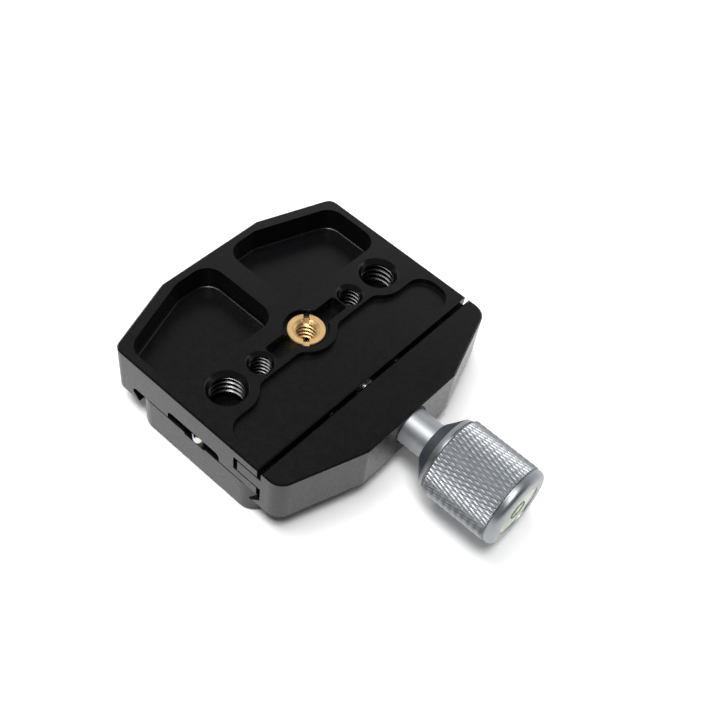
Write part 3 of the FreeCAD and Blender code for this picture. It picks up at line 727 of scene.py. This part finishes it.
@dataclass(frozen=True)
class HoleMouth:
    """Sloped mouth of a threaded hole.

    Attributes:
        wall: Radius of the hole's wall, in millimetres.
        rim: Radius of the mouth at its top.
        crest: Radius inside the thread, where the slope ends.
        top: Level of the mouth.
        depth: Height of the mouth.
        centre: Point on the hole's axis.
        slot_width: Width of a driver slot across the mouth, or 0.
        slot_turn: Turn of the slot from X, in degrees.
        slope_share: Share of the height that slopes.
        half_steps: Steps in half a turn.
    """

    wall: float
    rim: float
    crest: float
    top: float
    depth: float
    centre: Point
    slot_width: float = 0.0
    slot_turn: float = 0.0
    slope_share: ClassVar[float] = 0.9
    half_steps: ClassVar[int] = 32

    def cut(self, shape: BMesh) -> None:
        """Spin the mouth in two halves, open at the driver slot.

        Args:
            shape: Mesh that gets the mouth.
        """
        x, y, _ = self.centre
        middle = Vector((x, y, 0.0)) * MM
        half_slot = math.asin(self.slot_width / 2 / self.crest)
        section = [
            (self.wall + FOOT_SINK, self.top),
            (self.rim, self.top),
            (self.crest, self.top - self.depth * self.slope_share),
            (self.crest, self.top - self.depth),
            (self.wall + FOOT_SINK, self.top - self.depth),
        ]
        for half in (0, 1):
            edges = draw_loop(shape, [(x + radius, y, level) for radius, level in section])
            corners = list(dict.fromkeys(vert for edge in edges for vert in edge.verts))
            begin = math.radians(self.slot_turn) + half * math.pi + half_slot
            bmesh.ops.rotate(shape, verts=corners, cent=middle, matrix=Matrix.Rotation(begin, 3, "Z"))
            bmesh.ops.spin(
                shape,
                geom=[*corners, *edges],
                cent=middle,
                axis=(0, 0, 1),
                angle=math.pi - 2 * half_slot,
                steps=self.half_steps,
            )
        bmesh.ops.remove_doubles(shape, verts=shape.verts, dist=MERGE_DISTANCE)
        rims = [edge for edge in shape.edges if edge.is_boundary]
        if rims:
            bmesh.ops.holes_fill(shape, edges=rims)


@dataclass
class ClampBody:
    """Milled clamp body with its threaded holes.

    Attributes:
        large_hole_x: Distance of the large holes from the middle, in millimetres.
        large_radius: Radius of the large holes' wall.
        large_crest: Radius inside the large thread.
        large_pitch: Pitch of the large thread.
        small_hole_x: Distance of the small holes from the middle.
        small_radius: Radius of the small holes' wall.
        small_crest: Radius inside the small thread.
        small_pitch: Pitch of the small thread.
        mouth_top: Level where the holes' bevels end below the mounting face.
        large_mouth: Height of the large holes' sloped mouths.
        small_mouth: Height of the small holes' sloped mouths.
        large_floor: Level of the pocket floors.
        small_floor: Level of the dovetail's roof.
        rim_gap: Gap between a mouth's rim and the wall.
        thread_gap: Gap between a mouth and the thread below it.
        ridge_half: Half of a ridge's width at its foot, as a share of the pitch.
    """

    large_hole_x: float = 24.93
    large_radius: float = 4.7625
    large_crest: float = 3.95
    large_pitch: float = 1.5875
    small_hole_x: float = 14.8
    small_radius: float = 3.175
    small_crest: float = 2.5
    small_pitch: float = 1.27
    mouth_top: float = 19.95
    large_mouth: float = 1.25
    small_mouth: float = 1.0
    large_floor: float = 13.1
    small_floor: float = 10.5
    rim_gap: float = 0.02
    thread_gap: float = 0.05
    ridge_half: float = 0.31

    def build(self) -> None:
        """Dress the body and its springs, and cut the threads of its holes."""
        dress(BLACK, "clamp_body")
        dress(WIRE, "left_spring", "right_spring")
        large = (self.large_hole_x, self.large_radius, self.large_crest, self.large_mouth)
        small = (self.small_hole_x, self.small_radius, self.small_crest, self.small_mouth)
        rows = (
            ("large", large, self.large_pitch, self.large_floor),
            ("small", small, self.small_pitch, self.small_floor),
        )
        for side, sign in (("left", -1), ("right", 1)):
            for kind, (offset, radius, crest, mouth), pitch, floor in rows:
                centre = (sign * offset, 0.0, 0.0)
                shape = bmesh.new()
                HoleMouth(radius, radius - self.rim_gap, crest, self.mouth_top, mouth, centre).cut(shape)
                top = self.mouth_top - mouth - self.thread_gap
                Thread(radius, crest, pitch, floor, top, centre, half_width=self.ridge_half).wind(shape)
                # The threads take a black darker than the body's: painted shade inside the holes.
                finish_piece(f"{side}_{kind}_thread", shape, TAPPED_AND_SHADED, Body.CLAMP)


@dataclass
class ThreadReducer:
    """Slotted brass bushing in the middle hole.

    Attributes:
        bore_radius: Radius of the bore's wall, in millimetres.
        crest: Radius inside the thread.
        pitch: Pitch of the thread.
        bottom: Level of the lower end.
        top: Level of the slotted face.
        mouth_radius: Radius of the mouth at the slotted face.
        mouth_depth: Depth of the sloped mouth above the thread.
        slot_depth: Depth of the driver slot.
        slot_width: Width of the driver slot.
        slot_turn: Turn of the slot from X, in degrees.
        end_gap: Gap between the thread and the lower end.
        cut_gap: Gap between the thread and the mouth or slot.
    """

    bore_radius: float = 3.175
    crest: float = 2.5
    pitch: float = 1.27
    bottom: float = 13.1
    top: float = 19.5
    mouth_radius: float = 3.1
    mouth_depth: float = 0.5
    slot_depth: float = 1.5
    slot_width: float = 1.45
    slot_turn: float = 43.8
    end_gap: float = 0.1
    cut_gap: float = 0.02

    def build(self) -> None:
        """Dress the bushing, cut its thread and slope its mouth."""
        dress(BRASS, "thread_reducer")
        centre = (0.0, 0.0, 0.0)
        shape = bmesh.new()
        HoleMouth(
            self.bore_radius,
            self.mouth_radius,
            self.crest,
            self.top,
            self.mouth_depth,
            centre,
            self.slot_width,
            self.slot_turn,
        ).cut(shape)
        first = self.bottom + self.end_gap
        last = self.top - self.mouth_depth - self.cut_gap
        floor = Vector((0.0, 0.0, self.top - self.slot_depth - self.cut_gap))
        up = Vector((0.0, 0.0, 1.0))
        aside = Matrix.Rotation(math.radians(self.slot_turn), 3, "Z") @ Vector((0.0, 1.0, 0.0))
        parts = [[(floor, up)]]
        parts += [[(floor, -up), (side * self.slot_width / 2, -side)] for side in (aside, -aside)]
        for cuts in parts:
            Thread(self.bore_radius, self.crest, self.pitch, first, last, centre, cuts=cuts).wind(shape)
        finish_piece("reducer_thread", shape, BRASS, Body.CLAMP)


@dataclass
class MovableJaw:
    """Sliding jaw with its washer, and a thin dark ring of painted shade round the sleeve, where it enters
    the jaw.

    Attributes:
        face: Distance of the jaw's front face from the middle plane, in millimetres.
        axis_level: Level of the screw's axis.
        ring_inner: Inner radius of the ring.
        ring_outer: Outer radius of the ring.
        ring_thick: Height of the ring above the jaw's face.
        ring_seat: Depth of the ring's foot in that face.
        ring_steps: Steps in the ring's turn.
    """

    face: float = 32.6
    axis_level: float = 15.1
    ring_inner: float = 4.6
    ring_outer: float = 5.1
    ring_thick: float = 0.06
    ring_seat: float = 0.05
    ring_steps: int = 96

    def build(self) -> None:
        """Dress the jaw and its washer, and lay the ring of painted shade round the sleeve."""
        dress(BLACK, "movable_jaw")
        dress(STEEL, "thrust_washer")
        foot, top = self.ring_seat - self.face, -self.face - self.ring_thick
        inner, outer = self.ring_inner, self.ring_outer
        section = [(inner, foot), (outer, foot), (outer, top), (inner, top)]
        shape = bmesh.new()
        edges = draw_loop(shape, [(radius, place, self.axis_level) for radius, place in section])
        spin_round(shape, edges, (0.0, 0.0, self.axis_level), (0, 1, 0), self.ring_steps)
        # The ring is no real part: a black sheet that paints the shade where the sleeve goes into the jaw.
        finish_piece("sleeve_shadow_ring", shape, BLACK_RUBBER_AND_SHADE, Body.JAW)


@dataclass
class ScrewKnob:
    """Threaded stud with its sleeve, collar, knurled knob and level.

    Attributes:
        axis_level: Level of the screw's axis, in millimetres.
        screw_radius: Radius of the stud.
        screw_core: Radius at the bottom of its thread.
        screw_pitch: Pitch of its thread.
        screw_tip: Distance of its tip from the middle plane.
        screw_end: Distance of its end inside the knob.
        thread_end: Distance where the thread runs out.
        knob_start: Distance of the knob's near face.
        collar_radius: Radius of the near face.
        neck_end: Distance of the neck's end.
        neck_radius: Radius of the neck.
        groove: Width and depth of the grooves beside the barrel.
        barrel_start: Distance where the barrel begins.
        barrel_radius: Radius of the knurl's tips.
        rim_start: Distance where the end's rim begins.
        knob_end: Distance of the far face.
        rim_radius: Radius of the rim.
        rim_round: Rounding of the rim.
        well_radius: Radius of the level's well.
        well_floor: Distance of the well's floor.
        knurl_teeth: Teeth of each of the two crossing rows round the knob.
        knurl_lead: Length of one diamond along the axis.
        knurl_depth: Depth of the knurl.
        tip_round: Power that rounds the tips: 1 leaves them pointed.
        tooth_steps: Steps in the mesh for each tooth.
        stud_steps: Steps in the stud's turn.
        tip_bevel: Bevel of the stud's tip.
        tip_gap: Plain length between the tip and the thread.
        run_out: Length of the cone where the thread runs out.
        clip_gap: Gap on either side of the clip.
        edge_round: Rounding of the knob's edges.
        broad_round: Rounding from which an arc gets more steps.
        fine_arc: Steps in a small rounding.
        broad_arc: Steps in a broad rounding.
        row_margin: Margin along the axis for finding the barrel.
        barrel_margin: Margin in radius for finding the barrel.
    """

    axis_level: float = 15.1
    screw_radius: float = 2.95
    screw_core: float = 2.4
    screw_pitch: float = 1.0
    screw_tip: float = 8.2
    screw_end: float = 54.6
    thread_end: float = 20.2
    knob_start: float = 42.6
    collar_radius: float = 8.9
    neck_end: float = 43.75
    neck_radius: float = 9.25
    groove: float = 0.3
    barrel_start: float = 44.5
    barrel_radius: float = 9.9
    rim_start: float = 61.45
    knob_end: float = 63.45
    rim_radius: float = 9.7
    rim_round: float = 1.5
    well_radius: float = 6.3
    well_floor: float = 57.0
    knurl_teeth: int = 58
    knurl_lead: float = 3.38
    knurl_depth: float = 0.38
    tip_round: float = 2.0
    tooth_steps: int = 8
    stud_steps: int = 64
    tip_bevel: float = 0.15
    tip_gap: float = 0.2
    run_out: float = 0.3
    clip_gap: float = 0.02
    edge_round: float = 0.08
    broad_round: float = 0.5
    fine_arc: int = 3
    broad_arc: int = 10
    row_margin: float = 0.01
    barrel_margin: float = 0.1

    def build(self) -> None:
        """Dress the turned pieces, thread the stud, knurl the knob and fill the level."""
        dress(SILVER, "knob_sleeve")
        dress(SLATE, "knob_collar")
        dress(STEEL, "screw_clip")
        dress(CASE, "level_cup")
        dress(LENS, "level_lens")
        dress(LIQUID, "level_liquid")
        dress(AIR, "level_bubble")
        dress(INK, "level_ring")
        self.build_stud()
        self.build_grip()

    def turned(
        self,
        profile: Sequence[tuple[float, float, float]],
        steps: int,
        work: Callable[[BMesh], None] | None = None,
    ) -> BMesh:
        """Turn a profile about the screw's axis.

        Args:
            profile: Distance from the middle plane, radius and rounding of each corner, in millimetres.
            steps: Steps in the turn.
            work: Cuts made in the profile before it turns.

        Returns:
            Mesh of the turned surface.
        """
        shape = bmesh.new()
        draw_line(shape, [(radius, -distance, self.axis_level) for distance, radius, _ in profile])
        for corner, (_, _, rounding) in zip(list(shape.verts), profile):
            if rounding:
                bmesh.ops.bevel(
                    shape,
                    geom=[corner],
                    offset=rounding * MM,
                    offset_type="OFFSET",
                    affect="VERTICES",
                    segments=self.fine_arc if rounding < self.broad_round else self.broad_arc,
                    profile=0.5,
                    material=-1,
                )
        if work:
            work(shape)
        spin_round(shape, list(shape.edges), (0.0, 0.0, self.axis_level), (0, 1, 0), steps)
        bmesh.ops.remove_doubles(shape, verts=shape.verts, dist=MERGE_DISTANCE)
        return shape

    def build_stud(self) -> None:
        """Thread the stud from its tip to the clip, and leave the rest plain."""
        low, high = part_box("screw_clip")
        near, far = -high.y / MM - self.clip_gap, -low.y / MM + self.clip_gap
        shape = self.turned(
            [
                (self.screw_tip, 0.0, 0.0),
                (self.screw_tip, self.screw_core, self.tip_bevel),
                (self.thread_end - self.run_out, self.screw_core, 0.0),
                (self.thread_end, self.screw_radius, 0.0),
                (near, self.screw_radius, 0.0),
                (near, self.screw_core, 0.0),
                (far, self.screw_core, 0.0),
                (far, self.screw_radius, 0.0),
                (self.screw_end, self.screw_radius, 0.0),
                (self.screw_end, 0.0, 0.0),
            ],
            self.stud_steps,
        )
        thread = Thread(
            self.screw_core,
            self.screw_radius,
            self.screw_pitch,
            -self.thread_end,
            -self.screw_tip - self.tip_gap,
            (0.0, 0.0, self.axis_level),
            axis=Axis.Y,
        )
        thread.wind(shape)
        finish_piece("threaded_stud", shape, STEEL, Body.KNOB, ["clamp_screw"])

    def build_grip(self) -> None:
        """Turn the knob and press the diamond knurl into its barrel."""
        neck_floor = self.neck_radius - self.groove
        rim_floor = self.rim_radius - self.groove
        outline = [
            (self.knob_start, self.screw_radius, 0.0),
            (self.knob_start, self.collar_radius, self.edge_round),
            (self.neck_end, self.neck_radius, self.edge_round),
            (self.neck_end, neck_floor, 0.0),
            (self.neck_end + self.groove, neck_floor, 0.0),
            (self.neck_end + self.groove, self.neck_radius, 0.0),
            (self.barrel_start, self.barrel_radius, 0.0),
            (self.barrel_end, self.barrel_radius, 0.0),
            (self.rim_start - self.groove, self.barrel_radius - self.knurl_depth, 0.0),
            (self.rim_start - self.groove, rim_floor, 0.0),
            (self.rim_start, rim_floor, 0.0),
            (self.rim_start, self.rim_radius, self.edge_round),
            (self.knob_end, self.rim_radius, self.rim_round),
            (self.knob_end, self.well_radius, self.edge_round),
            (self.well_floor, self.well_radius, 0.0),
            (self.well_floor, 0.0, 0.0),
        ]
        steps = self.knurl_teeth * self.tooth_steps
        shape = self.turned(outline, steps, self.divide_barrel)
        socket = self.turned(
            [
                (self.knob_start, self.screw_radius, 0.0),
                (self.screw_end, self.screw_radius, 0.0),
                (self.screw_end, 0.0, 0.0),
            ],
            steps,
        )
        take_in(shape, socket)
        self.press_knurl(shape)
        replaced = ["knob_grip"]
        # The ends take the darker silver, which is painted shade; the barrel keeps the knurled silver.
        finish_piece("knurled_grip", shape, FACED_AND_SHADED, Body.KNOB, replaced, sharp_angle=40.0, worked=KNURLED)

    @property
    def row_count(self) -> int:
        """Rows of faces along the knurl, each a whole share of a diamond."""
        return int((self.rim_start - self.groove - self.barrel_start) / self.row_length)

    @property
    def row_length(self) -> float:
        """Length of one row in millimetres."""
        return self.knurl_lead / self.tooth_steps

    @property
    def barrel_end(self) -> float:
        """Distance where the knurl's last row ends."""
        return self.barrel_start + self.row_count * self.row_length

    def divide_barrel(self, shape: BMesh) -> None:
        """Divide the barrel's line into rows for the knurl.

        Args:
            shape: Mesh with the knob's profile.
        """
        middle = -(self.barrel_start + self.barrel_end) / 2 * MM
        barrel = [
            edge
            for edge in shape.edges
            if min(vert.co.y for vert in edge.verts) < middle < max(vert.co.y for vert in edge.verts)
            and min(vert.co.x for vert in edge.verts) > (self.barrel_radius - self.barrel_margin) * MM
        ]
        bmesh.ops.subdivide_edges(shape, edges=barrel, cuts=self.row_count - 1)

    def knurl_height(self, distance: float, angle: float) -> float:
        """Find the knurl's height, from 0 in a groove to 1 on a tip.

        Args:
            distance: Distance along the axis in millimetres.
            angle: Angle round the axis in radians.

        Returns:
            Height of the pyramid there.
        """
        turn = self.knurl_teeth * angle / math.tau
        travel = (distance - self.barrel_start) / self.knurl_lead
        rising = abs((turn + travel) % 1 - 0.5) * 2
        falling = abs((turn - travel) % 1 - 0.5) * 2
        return 1 - max(rising, falling) ** self.tip_round

    def press_knurl(self, shape: BMesh) -> None:
        """Press the crossing grooves into the barrel.

        Args:
            shape: Mesh of the knob.
        """
        barrel = [face for face in shape.faces if all(self.on_barrel(vert.co) for vert in face.verts)]
        for face in bmesh.ops.poke(shape, faces=barrel)["faces"]:
            face.material_index = 1
        for vert in shape.verts:
            if self.on_barrel(vert.co):
                x, z = vert.co.x / MM, vert.co.z / MM - self.axis_level
                height = self.knurl_height(-vert.co.y / MM, math.atan2(z, x))
                share = (self.barrel_radius - self.knurl_depth * (1 - height)) / self.reach(vert.co)
                vert.co.x = x * share * MM
                vert.co.z = (self.axis_level + z * share) * MM

    def on_barrel(self, point: Vector) -> bool:
        """Find whether a point of the knob lies on its barrel.

        Args:
            point: Point in metres.

        Returns:
            True on the barrel, before it is knurled.
        """
        start, end = self.barrel_start - self.row_margin, self.barrel_end + self.row_margin
        outside = self.reach(point) > self.barrel_radius - self.barrel_margin
        return start < -point.y / MM < end and outside

    def reach(self, point: Vector) -> float:
        """Return the distance of a point from the screw's axis, in millimetres."""
        return math.hypot(point.x / MM, point.z / MM - self.axis_level)


@dataclass
class QuickPlate:
    """Dovetail plate with its stop screws, camera screw and rubber strips."""

    def build(self) -> None:
        """Dress the plate and what is fixed to it."""
        dress(BLACK, "dovetail_plate")
        dress(STEEL, "left_stop_screw", "right_stop_screw", "camera_screw")
        dress(BLACK_RUBBER_AND_SHADE, "front_pad", "rear_pad")


@dataclass(frozen=True)
class Softbox:
    """Square lamp.

    Attributes:
        name: Name of the lamp.
        place: Its place in metres.
        width: Its width in metres.
        power: Its power in watts.
    """

    name: str
    place: Point
    width: float
    power: float

    def hang(self, aim: Point) -> None:
        """Hang the lamp.

        Args:
            aim: Point that it faces, in metres.
        """
        lamp = bpy.data.lights.new(self.name, "AREA")
        lamp.shape = "SQUARE"
        lamp.size = self.width
        lamp.energy = self.power
        holder = bpy.data.objects.new(self.name, lamp)
        bpy.context.scene.collection.objects.link(holder)
        turn = (Vector(aim) - Vector(self.place)).to_track_quat("-Z", "Y").to_matrix().to_4x4()
        holder.matrix_world = Matrix.Translation(self.place) @ turn


@dataclass
class Studio:
    """White table, soft lamps and the camera.

    Attributes:
        azimuth: Camera's angle round the object in degrees.
        elevation: Camera's angle above the table.
        roll: Camera's turn about its line of sight.
        distance: Camera's distance in millimetres.
        target: Point it looks at, in millimetres.
        lens: Focal length on a 36 mm sensor.
        shift: Shift of the frame.
        floor_half: Half width of the table in metres.
        floor_drop: Drop of the table below the object, in metres.
        floor_shown: Brightness of the table where it is seen.
        sweep: Distances in metres between which the table turns plain white.
        lamps: Softboxes over the table.
        aim: Point that they face, in metres.
        backdrop_way: Direction of the backdrop, behind the object as the camera sees it.
        backdrop_rise: Heights between which the backdrop ends, as shares of straight up.
        backdrop_side: Shares of that direction between which it begins.
        camera_side: Brightness on the camera's side, as a share of the backdrop's.
        room_level: Brightness of the rest of the room.
    """

    azimuth: float = -59.56
    elevation: float = 52.51
    roll: float = 12.97
    distance: float = 239.3
    target: Point = (5.10, -23.89, 20.1)
    lens: float = 53.18
    shift: tuple[float, float] = (-0.0543, 0.0222)
    floor_half: float = 3.0
    floor_drop: float = 0.00002
    floor_shown: float = 1.2
    sweep: tuple[float, float] = (0.3, 0.7)
    lamps: tuple[Softbox, ...] = (
        Softbox("overhead_softbox", (-0.24, 0.3, 1.55), 0.7, 12.0),
        Softbox("front_softbox", (-0.42, -0.28, 1.51), 0.4, 13.0),
    )
    aim: Point = (0.0, -0.02, 0.01)
    backdrop_way: Point = (0.86, 0.51, 0.0)
    backdrop_rise: tuple[float, float] = (0.52, 0.84)
    backdrop_side: tuple[float, float] = (-0.1, 0.4)
    camera_side: float = 0.03
    room_level: float = 0.04

    def build(self) -> None:
        """Set up the table, the light and the camera."""
        bpy.context.scene.view_settings.view_transform = "Standard"
        self.add_floor()
        self.add_world()
        for lamp in self.lamps:
            lamp.hang(self.aim)
        self.add_camera()

    def add_floor(self) -> None:
        """Lay a white table that keeps the object's shadow."""
        shape = bmesh.new()
        bmesh.ops.create_grid(shape, x_segments=2, y_segments=2, size=self.floor_half)
        bmesh.ops.translate(shape, verts=shape.verts, vec=(0, 0, -self.floor_drop))
        mesh = bpy.data.meshes.new("table")
        shape.to_mesh(mesh)
        shape.free()
        table = bpy.data.objects.new("table", mesh)
        bpy.context.scene.collection.objects.link(table)
        material = bpy.data.materials.new("table_white_matt")
        tree = blank_tree(material)
        matt = add_node(tree, "ShaderNodeBsdfDiffuse", {"Color": linear("#f2f2f2")})
        # Seen or mirrored, the table is this much brighter: white, and still with the shadow on it.
        white = add_node(tree, "ShaderNodeBsdfDiffuse", {"Color": (*[self.floor_shown] * 3, 1.0)})
        # Far from the object, where the lamps fade, it stays white up to the horizon.
        place = add_node(tree, "ShaderNodeTexCoord").outputs["Object"]
        reach = add_node(tree, "ShaderNodeVectorMath", {0: place}, operation="LENGTH")
        far = add_node(
            tree,
            "ShaderNodeMapRange",
            {"Value": reach.outputs["Value"], "From Min": self.sweep[0], "From Max": self.sweep[1]},
        )
        glow = add_node(tree, "ShaderNodeEmission", {"Color": linear("#ffffff"), "Strength": 1.0})
        seen = add_node(
            tree, "ShaderNodeMixShader", {0: far.outputs["Result"], 1: white.outputs[0], 2: glow.outputs[0]}
        )
        shown = self.shown_rays(tree)
        mixed = add_node(tree, "ShaderNodeMixShader", {0: shown, 1: matt.outputs[0], 2: seen.outputs[0]})
        add_node(tree, "ShaderNodeOutputMaterial", {"Surface": mixed.outputs[0]})
        mesh.materials.append(material)

    def shown_rays(self, tree: NodeTree) -> NodeSocket:
        """Add a switch for rays that show the background.

        Args:
            tree: Tree that gets the switch.

        Returns:
            Socket that is 1 for camera, glossy and transmission rays.
        """
        path = add_node(tree, "ShaderNodeLightPath").outputs
        mirrored = add_node(
            tree, "ShaderNodeMath", {0: path["Is Camera Ray"], 1: path["Is Glossy Ray"]}, operation="MAXIMUM"
        )
        shown = add_node(
            tree,
            "ShaderNodeMath",
            {0: mirrored.outputs[0], 1: path["Is Transmission Ray"]},
            operation="MAXIMUM",
        )
        return shown.outputs[0]

    def add_world(self) -> None:
        """Fill the room: white to the camera, a pale backdrop behind the object, dim elsewhere."""
        world = bpy.data.worlds.new("studio")
        bpy.context.scene.world = world
        tree = blank_tree(world)
        path = add_node(tree, "ShaderNodeLightPath").outputs
        way = add_node(tree, "ShaderNodeTexCoord").outputs["Generated"]
        rise = add_node(
            tree, "ShaderNodeVectorMath", {0: way, 1: (0.0, 0.0, 1.0)}, operation="DOT_PRODUCT"
        )
        behind = add_node(
            tree, "ShaderNodeVectorMath", {0: way, 1: self.backdrop_way}, operation="DOT_PRODUCT"
        )
        height = add_node(
            tree,
            "ShaderNodeMapRange",
            {
                "Value": rise.outputs["Value"],
                "From Min": self.backdrop_rise[0],
                "From Max": self.backdrop_rise[1],
                "To Min": 1.0,
                "To Max": 0.0,
            },
            interpolation_type="SMOOTHSTEP",
        )
        side = add_node(
            tree,
            "ShaderNodeMapRange",
            {
                "Value": behind.outputs["Value"],
                "From Min": self.backdrop_side[0],
                "From Max": self.backdrop_side[1],
                "To Min": self.camera_side,
                "To Max": 1.0,
            },
            interpolation_type="SMOOTHSTEP",
        )
        backdrop = add_node(
            tree,
            "ShaderNodeMath",
            {0: height.outputs["Result"], 1: side.outputs["Result"]},
            operation="MULTIPLY",
        )
        level = add_node(
            tree,
            "ShaderNodeMapRange",
            {"Value": backdrop.outputs[0], "To Min": self.room_level, "To Max": 1.0},
        )
        room = add_node(
            tree, "ShaderNodeBackground", {"Color": linear("#ffffff"), "Strength": level.outputs["Result"]}
        )
        white = add_node(tree, "ShaderNodeBackground", {"Color": linear("#ffffff"), "Strength": 1.0})
        mixed = add_node(
            tree, "ShaderNodeMixShader", {0: path["Is Camera Ray"], 1: room.outputs[0], 2: white.outputs[0]}
        )
        add_node(tree, "ShaderNodeOutputWorld", {"Surface": mixed.outputs[0]})

    def add_camera(self) -> None:
        """Stand the camera at the photograph's angle."""
        azimuth, elevation, roll = (math.radians(a) for a in (self.azimuth, self.elevation, self.roll))
        back = Vector(
            (
                math.sin(azimuth) * math.cos(elevation),
                -math.cos(azimuth) * math.cos(elevation),
                math.sin(elevation),
            )
        )
        level = Vector((math.cos(azimuth), math.sin(azimuth), 0.0))
        upright = back.cross(level)
        right = level * math.cos(roll) + upright * math.sin(roll)
        up = upright * math.cos(roll) - level * math.sin(roll)
        place = Vector(self.target) * MM + back * self.distance * MM
        data = bpy.data.cameras.new("camera")
        data.lens = self.lens
        data.sensor_width = 36.0
        data.shift_x, data.shift_y = self.shift
        data.clip_start, data.clip_end = 0.01, 50.0
        camera = bpy.data.objects.new("camera", data)
        bpy.context.scene.collection.objects.link(camera)
        turn = Matrix((right, up, back)).transposed().to_4x4()
        camera.matrix_world = Matrix.Translation(place) @ turn
        bpy.context.scene.camera = camera


def main() -> None:
    """Build the studio and the object."""
    logging.basicConfig(level=logging.INFO, format="%(name)s: %(message)s")
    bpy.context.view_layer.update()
    assemblies = [Studio(), ClampBody(), ThreadReducer(), MovableJaw(), ScrewKnob(), QuickPlate()]
    for assembly in assemblies:
        assembly.build()
        LOG.info("%s built", type(assembly).__name__)


if __name__ == "__main__":
    main()
